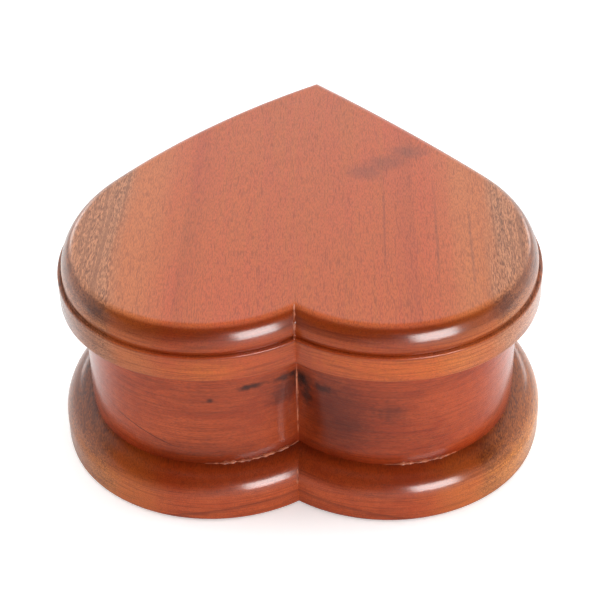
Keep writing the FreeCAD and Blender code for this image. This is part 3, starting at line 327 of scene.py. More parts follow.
# %% The lid's board, the wall's ring and the base's board
RED_HEART = paint(201, 88, 48)
DEEP_STREAK = paint(197, 96, 43)
GOLDEN = paint(204, 118, 66)
PALE_SAP = paint(206, 136, 94)
SMUDGES = ((22.0, 11.5), (29.0, 18.0), (37.0, 25.0))
DARK_LINES = ((28.0, -22.0, 40.0), (45.0, -30.0, 44.0), (56.0, -34.0, 38.0))
lid_wood = wood(
    "lid_wood", turn=IN_PLACE, shift=IN_PLACE, coat=1.0, ripple=0.50, marks=[
     *[spot((x, y, 74.0), (10.0, 7.0, 4.0), 0.6, 0.50, DUSKY) for x, y in SMUDGES],
     spot((-68.0, -36.0, 61.0), (28.0, 52.0, 9.0), 0.5, 0.90, BROWNED),
     spot((63.0, -60.0, 71.0), (9.0, 12.0, 4.0), 0.8, 0.70, BROWNED),
     spot((-62.0, -63.0, 71.0), (8.0, 12.0, 4.0), 0.8, 0.60, BROWNED),
     spot((34.0, -80.0, 61.0), (36.0, 14.0, 7.0), 0.8, 1.0, GILDED),
     spot((-28.0, -80.0, 60.0), (18.0, 10.0, 5.0), 0.9, 0.8, GILDED),
     *[spot((x, y, 74.0), (0.7, reach, 3.0), 0.6, 0.40, DUSKY) for x, y, reach in DARK_LINES]],
    # Painted shade: deep on the upper moulding turning from the light, more saturated on the lower
    # moulding, and in the groove below it.
    bands=[
     (67.6, 71.2, 73.2, 74.05, DEEP_PAINTED_SHADE),
     (65.8, 66.2, 68.0, 71.5, WARM_PAINTED_SHADE),
     (64.4, 65.2, 66.0, 67.4, SHADOWED)],
    Heart=RED_HEART, Streak=DEEP_STREAK, Gold=GOLDEN, Sap=PALE_SAP, Left_Sap=-57.0, Right_Sap=61.0,
    Pith_Depth=95.0, Ring_Gap=3.4, End_Shade=0.12, Speckle=0.75)
wall_wood = wood(
    "wall_wood", turn=QUARTER_TURN, shift=IN_PLACE, coat=1.0, ripple=0.45, marks=[
     spot((-14.5, -72.5, 46.6), (7.0, 5.0, 1.8), 0.9, 0.85, BLACKENED),
     spot((-4.0, -67.0, 46.2), (8.0, 6.0, 1.9), 0.9, 0.80, BLACKENED),
     spot((1.2, -64.8, 44.0), (5.6, 6.0, 4.4), 0.7, 0.97, BLACKENED),
     spot((3.0, -66.2, 38.5), (3.2, 4.0, 6.0), 0.9, 0.80, BLACKENED),
     spot((8.0, -69.5, 43.4), (6.0, 5.0, 2.4), 0.9, 0.65, BLACKENED),
     spot((-4.5, -67.0, 40.0), (10.0, 8.0, 6.0), 0.9, 0.70, DUSKY),
     spot((-27.4, -75.2, 42.8), (1.8, 3.0, 1.5), 0.5, 0.75, BLACKENED),
     spot((-51.5, -66.5, 26.3), (19.0, 34.0, 0.30), 0.3, 0.85, BLACKENED, HAIRLINE_TILT),
     spot((30.0, -75.2, 38.5), (7.0, 5.0, 5.5), 1.1, 0.50, DUSKY),
     spot((18.0, -73.8, 31.0), (8.0, 5.0, 3.0), 1.0, 0.35, DUSKY),
     spot((12.0, -70.0, 34.0), (24.0, 14.0, 26.0), 0.3, 0.75, REDDENED),
     # Painted shade along the left lobe's foot, where the base's ledge shades the wall, partly a tint of
     # lacquer.
     spot((-34.0, -74.0, 19.0), (36.0, 14.0, 9.0), 0.3, 0.55, REDDENED)],
    # Painted shade at the wall's foot from the base's ledge, partly a tint of lacquer.
    bands=[(0.0, 1.0, 16.0, 21.0, SHADOWED)],
    Heart=paint(194, 84, 39), Streak=paint(160, 58, 26),
    Gold=paint(190, 94, 44), Sap=paint(170, 100, 60),
    Left_Sap=-140.0, Right_Sap=140.0, Pith_Depth=60.0, Ring_Gap=5.0, End_Shade=0.25, Speckle=0.3)
base_wood = wood(
    "base_wood", turn=IN_PLACE, shift=(3.0, 40.0, 12.0), coat=1.0, ripple=0.40, marks=[
     spot((-76.0, -30.0, 8.0), (34.0, 54.0, 18.0), 0.4, 0.45, BROWNED),
     spot((58.0, -65.0, 13.0), (11.0, 9.0, 6.0), 0.9, 0.80, BROWNED),
     spot((-57.0, -61.0, 14.0), (13.0, 9.0, 4.0), 0.9, 0.75, BROWNED),
     spot((78.0, -34.0, 8.0), (40.0, 54.0, 20.0), 0.4, 1.0, GILDED)],
    # Painted shade on the base's upper round near the wall, where the lid's overhang shades it.
    bands=[(8.0, 15.0, 20.0, 21.0, DEEP_PAINTED_SHADE)],
    Heart=paint(218, 102, 52), Streak=paint(198, 82, 38),
    Gold=paint(216, 120, 54), Sap=paint(218, 132, 64),
    Left_Sap=-58.0, Right_Sap=62.0, Pith_Depth=140.0, Ring_Gap=3.6, End_Shade=0.30, Speckle=0.70)
plain_wood = wood(
    "plain_wood", turn=QUARTER_TURN, shift=IN_PLACE, coat=0.1, ripple=0.1, marks=[], bands=[],
    Heart=paint(184, 124, 86), Streak=paint(164, 100, 68),
    Gold=paint(186, 130, 90), Sap=paint(186, 140, 100),
    Left_Sap=-160.0, Right_Sap=160.0, Pith_Depth=80.0, Ring_Gap=4.0, End_Shade=0.4, Speckle=0.3)
print("woods:", lid_wood.name, wall_wood.name, base_wood.name, plain_wood.name)

# %% [markdown]
# ## Metals
# The hinge and wheels are brass, the movement's bed is a zinc casting, and the rest is steel. Worked
# metal is never even: the cutter leaves fine lines in one direction, and handling dulls it in clouds.
# One group makes both, and each metal chooses its two colours, its gloss and the way the lines run.

# %% The worked metal group
worked, metal_in, metal_out = shader_group(
    "worked_metal",
    {"Vector": "vector", "Clean": "colour", "Dull": "colour", "Lines": "vector",
     "Gloss": "value", "Spread": "value"},
    {"Color": "colour", "Roughness": "value", "Height": "value"})
lined = vector_calc(worked, "MULTIPLY", metal_in["Vector"], metal_in["Lines"])
lines = add(worked, "TexNoise", {"Vector": lined, "Scale": 1.0, "Detail": 3.0}).outputs["Fac"]
haze = fade(worked, noise(worked, metal_in["Vector"], (0.25, 0.25, 0.25), 4.0), 0.35, 0.70)
worn = calc(worked, "MULTIPLY_ADD", lines, 0.35, calc(worked, "MULTIPLY", haze, 0.65))
wire(worked, mix(worked, worn, metal_in["Clean"], metal_in["Dull"]), metal_out["Color"])
dullness = calc(worked, "MULTIPLY_ADD", worn, metal_in["Spread"], metal_in["Gloss"])
wire(worked, dullness, metal_out["Roughness"])
wire(worked, lines, metal_out["Height"])
print("worked metal group:", len(worked.nodes), "nodes")

# %% The metals of the hinge, the key and the movement
def metal(name, clean, dull, lines, gloss, spread, relief):
    material, tree, shader = new_material(name, Metallic=1.0)
    own = use_group(tree, worked, Vector=millimetres(tree), Clean=clean, Dull=dull, Lines=lines,
                    Gloss=gloss, Spread=spread)
    wire(tree, own["Color"], shader.inputs["Base Color"])
    wire(tree, own["Roughness"], shader.inputs["Roughness"])
    bump = add(tree, "Bump", {"Height": own["Height"], "Strength": relief, "Distance": 0.0001})
    wire(tree, bump.outputs[0], shader.inputs["Normal"])
    return material


TURNED = (14.0, 0.6, 0.6)
UPRIGHT = (0.6, 0.6, 14.0)
GRAINY = (3.0, 3.0, 3.0)
RECIPES = {
    "hinge_brass": (paint(222, 186, 112), paint(176, 134, 70), (0.5, 9.0, 0.5), 0.16, 0.22, 0.10),
    "cast_metal": (paint(190, 190, 186), paint(140, 140, 138), GRAINY, 0.38, 0.25, 0.60),
    "screw_steel": (paint(205, 204, 200), paint(150, 148, 144), (8.0, 1.0, 8.0), 0.2, 0.25, 0.15),
    "strip_steel": (paint(198, 199, 200), paint(152, 153, 155), (0.7, 10.0, 0.7), 0.24, 0.22, 0.2),
    "comb_steel": (paint(214, 214, 212), paint(170, 170, 170), (9.0, 0.5, 0.5), 0.14, 0.2, 0.12),
    "key_steel": (paint(220, 219, 214), paint(176, 172, 164), UPRIGHT, 0.10, 0.22, 0.08),
    "arbor_steel": (paint(208, 208, 206), paint(160, 160, 160), TURNED, 0.16, 0.22, 0.15),
    "gear_brass": (paint(226, 190, 116), paint(186, 146, 78), TURNED, 0.20, 0.24, 0.15),
    "spring_steel": (paint(92, 104, 138), paint(142, 118, 92), UPRIGHT, 0.18, 0.2, 0.10),
}
metals = {name: metal(name, *recipe) for name, recipe in RECIPES.items()}
print("metals:", len(metals))

# %% [markdown]
# ## Clear sheet, nylon and felt
# The sheet over the movement is polished acrylic, the governor's fan is moulded nylon, and the felt is
# pressed dyed wool. Acrylic is a plain glass-like shader with a little haze from wiping, and its sawn
# edges get a faint painted glow, emitted by the shader in place of the light that the sheet traps.
# Nylon is cloudy and waxy, and felt is a tangle of fibres, so its colour and bump are noise at two scales.

# %% The three soft and clear finishes
clear_sheet, tree, shader = new_material("clear_sheet", Base_Color=(0.97, 0.98, 0.98, 1.0), IOR=1.49,
                                         Transmission_Weight=1.0, Emission_Strength=0.5)
upright = calc(tree, "ABSOLUTE", add(tree, "SeparateXYZ", {0: surface_normal(tree)}).outputs[2])
# Painted glow: the upright sawn edges emit a faint light of their own.
painted_edge_glow = mix(tree, fade(tree, upright, 0.2, 0.8), (0.42, 0.46, 0.44, 1.0), (0.0, 0.0, 0.0, 1.0))
wire(tree, painted_edge_glow, shader.inputs["Emission Color"])
wiped = fade(tree, noise(tree, millimetres(tree), (0.05, 0.4, 0.4), 4.0), 0.5, 0.8)
wire(tree, calc(tree, "MULTIPLY_ADD", wiped, 0.06, 0.02), shader.inputs["Roughness"])
fan_nylon, tree, shader = new_material("fan_plastic", IOR=1.53, Subsurface_Weight=0.2)
milky = noise(tree, millimetres(tree), (0.6, 0.6, 0.6), 3.0)
wire(tree, mix(tree, milky, paint(232, 228, 214), paint(208, 202, 184)), shader.inputs["Base Color"])
wire(tree, calc(tree, "MULTIPLY_ADD", milky, 0.2, 0.32), shader.inputs["Roughness"])
felt, tree, shader = new_material("felt", Roughness=0.95, Sheen_Weight=0.5, Sheen_Roughness=0.4)
vector = millimetres(tree)
fibres = noise(tree, vector, (3.5, 3.5, 3.5), 6.0)
tufts = noise(tree, vector, (0.35, 0.35, 0.35), 3.0)
dye = mix(tree, fade(tree, fibres, 0.3, 0.75), paint(74, 14, 20), paint(132, 34, 40))
dye = mix(tree, calc(tree, "MULTIPLY", fade(tree, tufts, 0.4, 0.7), 0.35), dye, paint(96, 20, 26))
wire(tree, dye, shader.inputs["Base Color"])
nap = add(tree, "Bump", {"Height": fibres, "Strength": 0.8, "Distance": 0.0004})
wire(tree, nap.outputs[0], shader.inputs["Normal"])
print("soft and clear finishes:", clear_sheet.name, fan_nylon.name, felt.name)

# %% [markdown]
# ## Finishes on the model's pieces
# Each piece of the model already names the slot that its finish belongs to, so dressing it is a matter
# of handing every slot its material. Nothing about the pieces' shapes changes here.

# %% Hand out the materials
finishes = {"lid_wood": lid_wood, "wall_wood": wall_wood, "base_wood": base_wood,
            "plain_wood": plain_wood, "clear_sheet": clear_sheet, "fan_plastic": fan_nylon, "felt": felt,
            **metals}
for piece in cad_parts.values():
    for place in piece.material_slots:
        place.material = finishes[place.material.name.split(".")[0]]
print("dressed pieces:", len(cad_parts))

# %% [markdown]
# ## The three wooden pieces
# A maker saws each heart from a board and runs a shaped cutter round its edge, so every section across
# the rim is the same line. The fixed model has these shapes with knife-sharp corners, but on the real
# box sanding and lacquer have softened them, and that is what catches the light. Each piece is drawn
# again the way the cutter works: the rim's section is drawn once, then spun round the six arcs of the
# heart one after the other, trimmed where the halves meet at the notch and at the point, and closed.

# %% The heart's arcs: a lobe, a side and a flank on each half
MM = 0.001
LOBE_MIDDLE = Vector((29.16, -32.871, 0.0)) * MM
LOBE_RADIUS = 49.77 * MM
SIDE_RADIUS = 65.2 * MM
SIDE_RISE = 5.666 * MM
FLANKS = {1: (827.5 * MM, 476.78 * MM), -1: (278.1 * MM, 120.95 * MM)}
FIRST_TURN = math.asin(-SIDE_RISE / (SIDE_RADIUS - LOBE_RADIUS))


def heart_side(sign):
    flank_radius, flank_drop = FLANKS[sign]
    second_turn = math.asin(flank_drop / (flank_radius - SIDE_RADIUS))
    side = LOBE_MIDDLE + Vector(((LOBE_RADIUS - SIDE_RADIUS) * math.cos(FIRST_TURN), SIDE_RISE, 0.0))
    flank = side + Vector(((SIDE_RADIUS - flank_radius) * math.cos(second_turn), -flank_drop, 0.0))
    centres = [Vector((sign * point.x, point.y, 0.0)) for point in (LOBE_MIDDLE, side, flank)]
    return centres, second_turn


def heart_point(inset):
    right = heart_side(1)[0][2]
    left = heart_side(-1)[0][2]
    right_radius = FLANKS[1][0] - inset
    left_radius = FLANKS[-1][0] - inset
    between = left - right
    share = (right_radius ** 2 - left_radius ** 2 + between.length_squared) / (2 * between.length)
    sideways = Vector((-between.y, between.x, 0.0)).normalized()
    return right + between.normalized() * share + sideways * math.sqrt(right_radius ** 2 - share ** 2)


print("rear point at", [round(part / MM, 2) for part in heart_point(0.0)], "mm")

# %% A line drawn point by point, as extruding one vertex does
def draw_line(name, points):
    bpy.ops.object.select_all(action="DESELECT")
    bpy.ops.mesh.primitive_plane_add(size=MM, location=points[0])
    piece = bpy.context.object
    piece.name = name
    bpy.ops.object.transform_apply(location=True, rotation=True, scale=True)
    bpy.ops.object.mode_set(mode="EDIT")
    bpy.ops.mesh.select_mode(type="VERT")
    bpy.ops.mesh.select_all(action="SELECT")
    bpy.ops.mesh.merge(type="CENTER")
    for start, end in zip(points, points[1:]):
        bpy.ops.mesh.extrude_region_move(TRANSFORM_OT_translate={"value": end - start})
    bpy.ops.mesh.select_all(action="SELECT")
    return piece


def select_faces(piece, wanted):
    bpy.ops.mesh.select_mode(type="FACE")
    bpy.ops.mesh.select_all(action="DESELECT")
    mesh = bmesh.from_edit_mesh(piece.data)
    for face in mesh.faces:
        if wanted(face):
            face.select_set(True)
    bmesh.update_edit_mesh(piece.data)


print("lines are drawn by extruding a vertex")

# %% Half a moulding: the section is spun round a lobe, a side and a flank, then trimmed
START_ANGLE = math.radians(-152.0)
SPARE_SWEEP = 0.02
CLOSED_AT = 12.0
STEPS = (72, 28, 28)


def half_moulding(name, section, sign):
    centres, second_turn = heart_side(sign)
    outward = Vector((sign * math.cos(START_ANGLE), math.sin(START_ANGLE), 0.0))
    points = [centres[0] + outward * (LOBE_RADIUS - inset) + Vector((0.0, 0.0, level))
              for inset, level in section]
    piece = draw_line(name, points)
    to_point = heart_point(0.0) - centres[2]
    flank_turn = math.atan2(to_point.y, sign * to_point.x)
    turns = (START_ANGLE, FIRST_TURN, second_turn, flank_turn + SPARE_SWEEP)
    for centre, start, end, steps in zip(centres, turns, turns[1:], STEPS):
        bpy.ops.mesh.spin(steps=steps, angle=sign * (start - end), center=centre, axis=(0.0, 0.0, 1.0))
    select_faces(piece, lambda face: face.calc_center_median().y < 0.0)
    bpy.ops.mesh.bisect(plane_co=(0.0, 0.0, 0.0), plane_no=(sign, 0.0, 0.0), clear_inner=True)
    along = (heart_point(0.0) - heart_point(CLOSED_AT * MM)).normalized()
    select_faces(piece, lambda face: face.calc_center_median().y > 0.0)
    bpy.ops.mesh.bisect(plane_co=heart_point(0.0), plane_no=(sign * along.y, -sign * along.x, 0.0),
                        clear_inner=True)
    bpy.ops.object.mode_set(mode="OBJECT")
    return piece


print("steps round each half:", sum(STEPS))

# %% A whole moulding: both halves joined, welded and closed
def moulding(name, section):
    right = half_moulding(name, section, 1)
    left = half_moulding(name + "_left", section, -1)
    bpy.ops.object.select_all(action="DESELECT")
    left.select_set(True)
    right.select_set(True)
    bpy.context.view_layer.objects.active = right
    bpy.ops.object.join()
    bpy.ops.object.mode_set(mode="EDIT")
    bpy.ops.mesh.select_all(action="SELECT")
    bpy.ops.mesh.remove_doubles(threshold=0.05 * MM)
    bpy.ops.mesh.fill_holes(sides=0)
    bpy.ops.mesh.select_all(action="SELECT")
    bpy.ops.mesh.normals_make_consistent(inside=False)
    bpy.ops.object.mode_set(mode="OBJECT")
    return right


def bow(middle, radius, start, end, steps):
    angles = [math.radians(start + (end - start) * step / steps) for step in range(steps + 1)]
    return [(middle[0] - radius * math.cos(angle), middle[1] + radius * math.sin(angle))
            for angle in angles]


print("a section's points are (inset from the lid's outline, height)")

# %% The sections across the lid, the wall and the base, in millimetres
BASE_TOP = 16.5
SEAM = 56.5
LID_TOP = 74.1
WALL_OUTSIDE = 7.38
WALL_INSIDE = 16.38
lid_section = (
    [(CLOSED_AT, LID_TOP), (7.6, LID_TOP)] + bow((6.975, 69.6), 4.5, 90.0, 37.1, 10)
    + bow((11.6, 66.1), 10.3, 35.0, 6.0, 11) + bow((1.95, 66.6), 0.6, 0.0, -75.0, 5)
    + [(1.9, 65.4), (1.4, 65.25)] + bow((0.45, 65.05), 0.45, 90.0, 0.0, 5)
    + bow((0.45, 56.95), 0.45, 0.0, -90.0, 4) + [(1.2, SEAM), (CLOSED_AT, SEAM)])
wall_section = (
    [(WALL_OUTSIDE, BASE_TOP), (WALL_OUTSIDE, 17.2), (WALL_OUTSIDE, 55.6)]
    + bow((7.78, 56.1), 0.4, 0.0, 90.0, 4) + [(8.6, SEAM), (15.4, SEAM)]
    + bow((15.98, 56.1), 0.4, 90.0, 180.0, 4)
    + [(WALL_INSIDE, 55.6), (WALL_INSIDE, 17.2), (WALL_INSIDE, BASE_TOP), (WALL_OUTSIDE, BASE_TOP)])
base_section = (
    [(CLOSED_AT, 0.0), (0.2, 0.0)] + bow((-0.74, 1.5), 1.5, -90.0, 0.0, 6)
    + bow((6.26, 8.0), 8.5, 0.0, 90.0, 18) + [(7.0, BASE_TOP), (CLOSED_AT, BASE_TOP)])


def in_metres(section):
    return [(inset * MM, level * MM) for inset, level in section]


lid_shell = moulding("lid_shell", in_metres(lid_section))
wall_shell = moulding("wall_shell", in_metres(wall_section))
base_shell = moulding("base_shell", in_metres(base_section))
for shell in (lid_shell, wall_shell, base_shell):
    print(shell.name, "faces:", len(shell.data.polygons), "size in mm:",
          [round(part / MM, 2) for part in shell.dimensions])

# %% [markdown]
# ## Recesses and holes
# The lid and wall are let in for the hinge, and the base is hollowed from below for the winding key and
# the screws that hold the movement. On the bench these are a chisel and a drill, and here they are cutters
# taken away with the Boolean modifier, each a little longer than its cut so that no skin is left behind.

# %% Chisel, drill and how they are used
def chisel(low, high):
    bpy.ops.object.select_all(action="DESELECT")
    low = Vector(low) * MM
    high = Vector(high) * MM
    bpy.ops.mesh.primitive_cube_add(size=1.0, location=(low + high) / 2)
    cutter = bpy.context.object
    cutter.scale = high - low
    bpy.ops.object.transform_apply(location=True, rotation=True, scale=True)
    return cutter


def drill(radius, start, end, sides=40):
    bpy.ops.object.select_all(action="DESELECT")
    start = Vector(start) * MM
    end = Vector(end) * MM
    turn = (end - start).to_track_quat("Z", "Y").to_euler()
    bpy.ops.mesh.primitive_cylinder_add(vertices=sides, radius=radius * MM, depth=(end - start).length,
                                        location=(start + end) / 2, rotation=turn)
    bpy.ops.object.transform_apply(location=True, rotation=True, scale=True)
    return bpy.context.object


def carve(piece, cutters):
    for cutter in cutters:
        cutting = piece.modifiers.new("cut", "BOOLEAN")
        cutting.object = cutter
        cutting.operation = "DIFFERENCE"
        cutting.solver = "MANIFOLD"
        bpy.context.view_layer.objects.active = piece
        bpy.ops.object.modifier_apply(modifier=cutting.name)
        bpy.data.objects.remove(cutter)


print("cutters ready")

# %% Cut the hinge's places in the lid and the wall
LIP = 1.0
HINGE_FLAT = 62.408
HINGE_LEFT, HINGE_RIGHT = -6.92, 12.92
LEAF_BACK = 54.388
HINGE_AXIS = (64.308, SEAM)
KNUCKLE_HOLE = 2.05
SCREW_HOLE = 0.92
LID_LEAF_TOP = 57.6
WALL_LEAF_FLOOR = 55.4
SCREW_PLACES = ((-3.0, 58.408), (9.0, 58.408))
carve(lid_shell, [
    chisel((HINGE_LEFT, LEAF_BACK, SEAM - LIP), (HINGE_RIGHT, HINGE_AXIS[0], LID_LEAF_TOP)),
    drill(KNUCKLE_HOLE, (HINGE_LEFT - 0.28, *HINGE_AXIS), (HINGE_RIGHT + 0.28, *HINGE_AXIS)),
    *[drill(SCREW_HOLE, (x, y, SEAM - LIP), (x, y, 65.6), 20) for x, y in SCREW_PLACES]])
carve(wall_shell, [
    chisel((-60.0, HINGE_FLAT, 0.0), (60.0, 100.0, 80.0)),
    chisel((HINGE_LEFT, LEAF_BACK, WALL_LEAF_FLOOR), (HINGE_RIGHT, HINGE_FLAT + LIP, SEAM + LIP)),
    *[drill(SCREW_HOLE, (x, y, 47.4), (x, y, SEAM), 20) for x, y in SCREW_PLACES]])
print("lid faces:", len(lid_shell.data.polygons), "wall faces:", len(wall_shell.data.polygons))

# %% Hollow the base for the key and the movement's screws
KEY_PLACE = (-12.75, 13.608)
BED_SCREWS = ((-20.25, -3.892), (20.25, -3.892), (11.25, 30.708))
KEY_RECESS = 22.0
RECESS_TOP = 12.5
ARBOR_HOLE = 2.05
SCREW_SINK = 3.5
BED_SCREW_HOLE = 1.42
HOLE_START = 10.0
carve(base_shell, [
    drill(KEY_RECESS, (*KEY_PLACE, -LIP), (*KEY_PLACE, RECESS_TOP), 96),
    drill(ARBOR_HOLE, (*KEY_PLACE, HOLE_START), (*KEY_PLACE, BASE_TOP + LIP)),
    *[drill(SCREW_SINK, (x, y, -LIP), (x, y, RECESS_TOP)) for x, y in BED_SCREWS],
    *[drill(BED_SCREW_HOLE, (x, y, HOLE_START), (x, y, BASE_TOP + LIP), 24) for x, y in BED_SCREWS]])
print("base faces:", len(base_shell.data.polygons))

# %% Dress the three pieces and let them stand for the model's own
def dress(piece, material, body, node):
    bpy.ops.object.select_all(action="DESELECT")
    piece.select_set(True)
    bpy.context.view_layer.objects.active = piece
    bpy.ops.object.shade_smooth_by_angle(angle=math.radians(28.0))
    piece.data.materials.clear()
    piece.data.materials.append(material)
    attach(piece, body)
    if node:
        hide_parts(node)


dress(lid_shell, lid_wood, "lid", "lid")
dress(wall_shell, wall_wood, "case", "box_wall")
dress(base_shell, base_wood, "case", "base_plate")
print("wooden pieces dressed")

# %% [markdown]
# ## Lacquer that ran
# Lacquer gathers wherever two surfaces meet: as a bright upright line in the notch of the lid, the wall
# and the base, and as an uneven bead along the wall's foot. Its brightness is partly painted, as a light
# tone standing in for a glint too narrow to catch. A run is thicker here and thinner there,
# so it is drawn as a line of points, turned into a curve that has a thickness of its own at every
# point, and turned back into a mesh.

# %% The lacquer's finish: amber, clear and glossy, its lighter tone a painted glint
lacquer, tree, shader = new_material("lacquer_run", Coat_Weight=1.0, Coat_Roughness=0.05, Roughness=0.25)
# Painted highlight: the lighter tone stands in for a glint too narrow to catch; the darker one is lacquer
# pooled deep.
glint_and_pool = noise(tree, millimetres(tree), (0.35, 0.35, 0.35), 3.0)
wire(tree, mix(tree, fade(tree, glint_and_pool, 0.35, 0.65), paint(196, 112, 78), paint(140, 62, 36)),
     shader.inputs["Base Color"])
print("lacquer:", lacquer.name)

# %% A run of lacquer through given points
def lacquer_run(name, points, thickness, body, shake):
    line = draw_line(name, points)
    bpy.ops.object.mode_set(mode="OBJECT")
    bpy.ops.object.convert(target="CURVE")
    curve = line.data
    curve.bevel_depth = thickness
    curve.bevel_resolution = 3
    curve.use_fill_caps = True
    last = len(points) - 1
    for number, point in enumerate(curve.splines[0].points):
        taper = min(1.0, 0.15 + 4.0 * min(number, last - number) / last)
        point.radius = taper * (0.8 + shake * math.sin(0.9 * number) * math.sin(0.37 * number + 0.7))
    bpy.ops.object.convert(target="MESH")
    run = bpy.context.object
    bpy.ops.object.mode_set(mode="EDIT")
    bpy.ops.mesh.select_all(action="SELECT")
    bpy.ops.mesh.remove_doubles(threshold=0.001 * MM)
    bpy.ops.mesh.normals_make_consistent(inside=False)
    bpy.ops.object.mode_set(mode="OBJECT")
    dress(run, lacquer, body, None)
    return run


def notch_place(inset, level):
    reach = LOBE_RADIUS - inset
    depth = math.sqrt(reach ** 2 - LOBE_MIDDLE.x ** 2)
    return Vector((-0.4 * MM, LOBE_MIDDLE.y - depth, level))


def spread_out(start, end, steps):
    return [start + (end - start) * step / steps for step in range(steps + 1)]


print("a run follows its points and swells and thins between them")

# %% The upright lines in the notch of the lid, the wall and the base
lid_run = [notch_place(inset * MM, level * MM) for inset, level in lid_section
           if 0.0 < inset < 6.0 and level > 57.0]
lid_line = lacquer_run("lid_notch_lacquer", lid_run, 0.65 * MM, "lid", 0.35)
wall_run = [notch_place(WALL_OUTSIDE * MM, level) for level in spread_out(17.0 * MM, 55.8 * MM, 24)]
wall_line = lacquer_run("wall_notch_lacquer", wall_run, 0.6 * MM, "case", 0.3)
base_run = [notch_place(inset * MM, level * MM) for inset, level in base_section if 2.0 < level < 14.0]
base_line = lacquer_run("base_notch_lacquer", base_run, 0.5 * MM, "case", 0.3)
notch_lines = (lid_line, wall_line, base_line)
print("faces in the notch lines:", [len(line.data.polygons) for line in notch_lines])

# %% The beads along the wall's foot
FOOT_RADIUS = LOBE_RADIUS - WALL_OUTSIDE * MM
BEAD_LEVEL = 16.55 * MM


def foot_place(sign, angle):
    direction = Vector((math.cos(math.radians(angle)), math.sin(math.radians(angle)), 0.0))
    return Vector((sign * LOBE_MIDDLE.x, LOBE_MIDDLE.y, BEAD_LEVEL)) + FOOT_RADIUS * direction


left_bead = [foot_place(-1, angle) for angle in spread_out(-92.0, -47.0, 60)]
right_bead = [foot_place(1, angle) for angle in spread_out(-92.0, -58.0, 48)]
bead_pieces = [lacquer_run("left_foot_bead", left_bead, 0.75 * MM, "case", 0.5),
               lacquer_run("right_foot_bead", right_bead, 0.6 * MM, "case", 0.5)]
print("foot beads:", [len(piece.data.polygons) for piece in bead_pieces])

# %% [markdown]
# ## Felt in the compartment
# The compartment's floor is lined with a loose piece of felt, cut to the heart and laid in without glue,
# so it is a little uneven and its cut edge is fuzzy. The model's felt is a flat slab. A copy of it is
# welded, given an even net of small faces by remeshing, and pushed gently up and down by a cloud
# texture; then it stands for the slab.

# %% The felt sheet
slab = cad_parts["felt_lining"]
felt_sheet = bpy.data.objects.new("felt_sheet", slab.data.copy())
bpy.context.scene.collection.objects.link(felt_sheet)
felt_sheet.matrix_world = slab.matrix_world
bpy.ops.object.select_all(action="DESELECT")
felt_sheet.select_set(True)
bpy.context.view_layer.objects.active = felt_sheet
bpy.ops.object.transform_apply(location=True, rotation=True, scale=True)
bpy.ops.object.mode_set(mode="EDIT")
bpy.ops.mesh.select_all(action="SELECT")
bpy.ops.mesh.remove_doubles(threshold=0.01 * MM)
bpy.ops.object.mode_set(mode="OBJECT")
remesh = felt_sheet.modifiers.new("even_net", "REMESH")
remesh.mode = "VOXEL"
remesh.voxel_size = 0.55 * MM
bpy.ops.object.modifier_apply(modifier=remesh.name)
print("felt faces:", len(felt_sheet.data.polygons), "size in mm:",
      [round(part / MM, 2) for part in felt_sheet.dimensions])

# %% Make the felt uneven and lay it in
unevenness = bpy.data.textures.new("unevenness", "CLOUDS")
unevenness.noise_scale = 0.009
push = felt_sheet.modifiers.new("uneven", "DISPLACE")
push.texture = unevenness
push.texture_coords = "LOCAL"
push.direction = "Z"
push.mid_level = 0.35
push.strength = 0.5 * MM
bpy.context.view_layer.objects.active = felt_sheet
bpy.ops.object.modifier_apply(modifier=push.name)
dress(felt_sheet, felt, "case", "felt_lining")

# %% [markdown]
# ## Floor, light and camera
# The box stands on white paper that runs out of sight. A soft box to the right of the camera draws
# the bright windows on the mouldings, and two small lamps behind draw the rims; these show only in the
# gloss. An overhead wash and three fills light the colour and never show in the gloss. The surround is
# dark overhead, because the upper rims of the mouldings mirror the ceiling and look deep. Paper and
# surround are white to the camera, but the paper is greyer in bounced light, and it glows behind the
# box and in the gloss so that the mouldings pick up its light.

# %% The paper floor
bpy.ops.object.select_all(action="DESELECT")
bpy.ops.mesh.primitive_plane_add(size=40.0, location=(0.0, 0.0, -0.0002))
floor = bpy.context.object
floor.name = "paper_floor"
paper, tree, shader = new_material("paper", Roughness=0.9, Emission_Strength=0.38)
vector = millimetres(tree)
pulp = noise(tree, vector, (0.4, 0.4, 0.4), 3.0)
path = add(tree, "LightPath", {}).outputs
seen = path["Is Camera Ray"]
white = mix(tree, pulp, (0.92, 0.92, 0.92, 1.0), (0.95, 0.95, 0.95, 1.0))
wire(tree, mix(tree, seen, (0.50, 0.49, 0.48, 1.0), white), shader.inputs["Base Color"])
depth = add(tree, "SeparateXYZ", {0: vector}).outputs[1]
glow = mix(tree, fade(tree, depth, -60.0, 140.0), (0.0, 0.0, 0.0, 1.0), (1.2, 1.2, 1.2, 1.0))
mirrored = calc(tree, "MULTIPLY", path["Is Glossy Ray"], fade(tree, depth, -75.0, 0.0))
glow = mix(tree, mirrored, glow, (1.3, 1.3, 1.3, 1.0))
away = add(tree, "VectorMath", {0: vector}, operation="LENGTH").outputs["Value"]
plain_white = mix(tree, fade(tree, away, 250.0, 700.0), (1.0, 1.0, 1.0, 1.0), (3.0, 3.0, 3.0, 1.0))
wire(tree, mix(tree, seen, glow, plain_white), shader.inputs["Emission Color"])
floor.data.materials.append(paper)
print("floor:", floor.name)

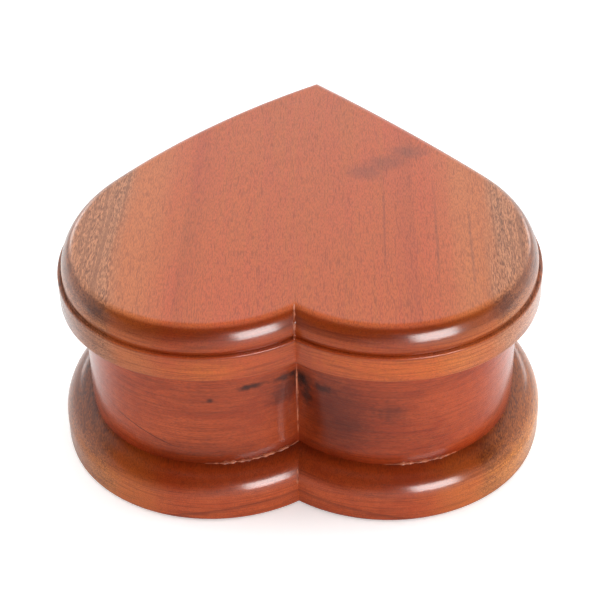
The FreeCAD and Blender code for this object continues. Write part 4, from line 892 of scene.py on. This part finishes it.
# %% The surround
world = bpy.data.worlds.new("pale_room")
bpy.context.scene.world = world
world.use_nodes = True
tree = world.node_tree
facing = add(tree, "SeparateXYZ", {0: add(tree, "TexCoord", {}).outputs["Generated"]}).outputs
behind = fade(tree, facing[1], -0.5, 0.5)
ceiling = fade(tree, calc(tree, "MULTIPLY_ADD", behind, -0.45, facing[2]), 0.15, 0.45)
room = mix(tree, behind, (0.25, 0.25, 0.25, 1.0), (0.92, 0.90, 0.90, 1.0))
room = mix(tree, ceiling, room, (0.03, 0.03, 0.03, 1.0))
room = mix(tree, add(tree, "LightPath", {}).outputs["Is Camera Ray"], room, (1.0, 1.0, 1.0, 1.0))
wire(tree, room, tree.nodes["Background"].inputs["Color"])
tree.nodes["Background"].inputs["Strength"].default_value = 1.0
print("surround:", world.name)

# %% Lamps: a soft box and rims that only show in the gloss, and a wash and fills that never do
def lamp(name, place, target, width, height, power, in_gloss):
    bpy.ops.object.light_add(type="AREA", location=place)
    light = bpy.context.object
    light.name = name
    light.data.shape = "RECTANGLE"
    light.data.size = width
    light.data.size_y = height
    light.data.energy = power
    light.rotation_euler = (Vector(target) - Vector(place)).to_track_quat("-Z", "Y").to_euler()
    light.visible_glossy = in_gloss
    light.visible_diffuse = not in_gloss
    return light


MIDDLE = (0.0, -0.02, 0.05)
soft_box = lamp("soft_box", (0.62, -0.92, 0.42), MIDDLE, 0.60, 0.50, 12.5, True)
rims = [lamp(name, (x, 0.96, 0.37), MIDDLE, 0.30, 0.22, 0.6, True)
        for name, x in (("left_rim", -0.62), ("right_rim", 0.66))]
wash = lamp("overhead_wash", (0.0, 0.15, 1.5), MIDDLE, 1.2, 1.2, 13.2, False)
fills = [lamp("front_fill", (0.3, -1.25, 0.22), MIDDLE, 1.4, 0.4, 10.6, False),
         lamp("left_fill", (-1.15, 0.1, 0.3), MIDDLE, 1.0, 0.5, 9.0, False),
         lamp("right_fill", (1.15, 0.0, 0.3), MIDDLE, 1.0, 0.5, 11.8, False)]
print("lamps:", [light.name for light in (soft_box, *rims, wash, *fills)])

# %% [markdown]
# ## The camera
# The picture was taken with a longish lens from a little above, almost in line with the notch. The
# numbers come from fitting the heart's outline to the picture, tilt included, and the small shift puts
# the box where it sits in the frame.

# %% Camera from its target, distance and angles
AZIMUTH = math.radians(2.40)
ELEVATION = math.radians(36.47)
ROLL = math.radians(-1.32)
TARGET = Vector((0.0, -0.032811, 0.04511))
DISTANCE = 0.55839
back = Vector((math.sin(AZIMUTH) * math.cos(ELEVATION), -math.cos(AZIMUTH) * math.cos(ELEVATION),
               math.sin(ELEVATION)))
side = Vector((math.cos(AZIMUTH), math.sin(AZIMUTH), 0.0))
rise = back.cross(side)
right = math.cos(ROLL) * side + math.sin(ROLL) * rise
above = back.cross(right)
bpy.ops.object.camera_add(location=TARGET + DISTANCE * back)
camera = bpy.context.object
camera.rotation_euler = Matrix((right, above, back)).transposed().to_euler()
camera.data.sensor_width = 36.0
camera.data.lens = 99.87
camera.data.shift_x = -0.0003
camera.data.shift_y = 0.0259
bpy.context.scene.camera = camera
bpy.context.scene.view_settings.view_transform = "Standard"
print("camera at", [round(part, 4) for part in camera.location])
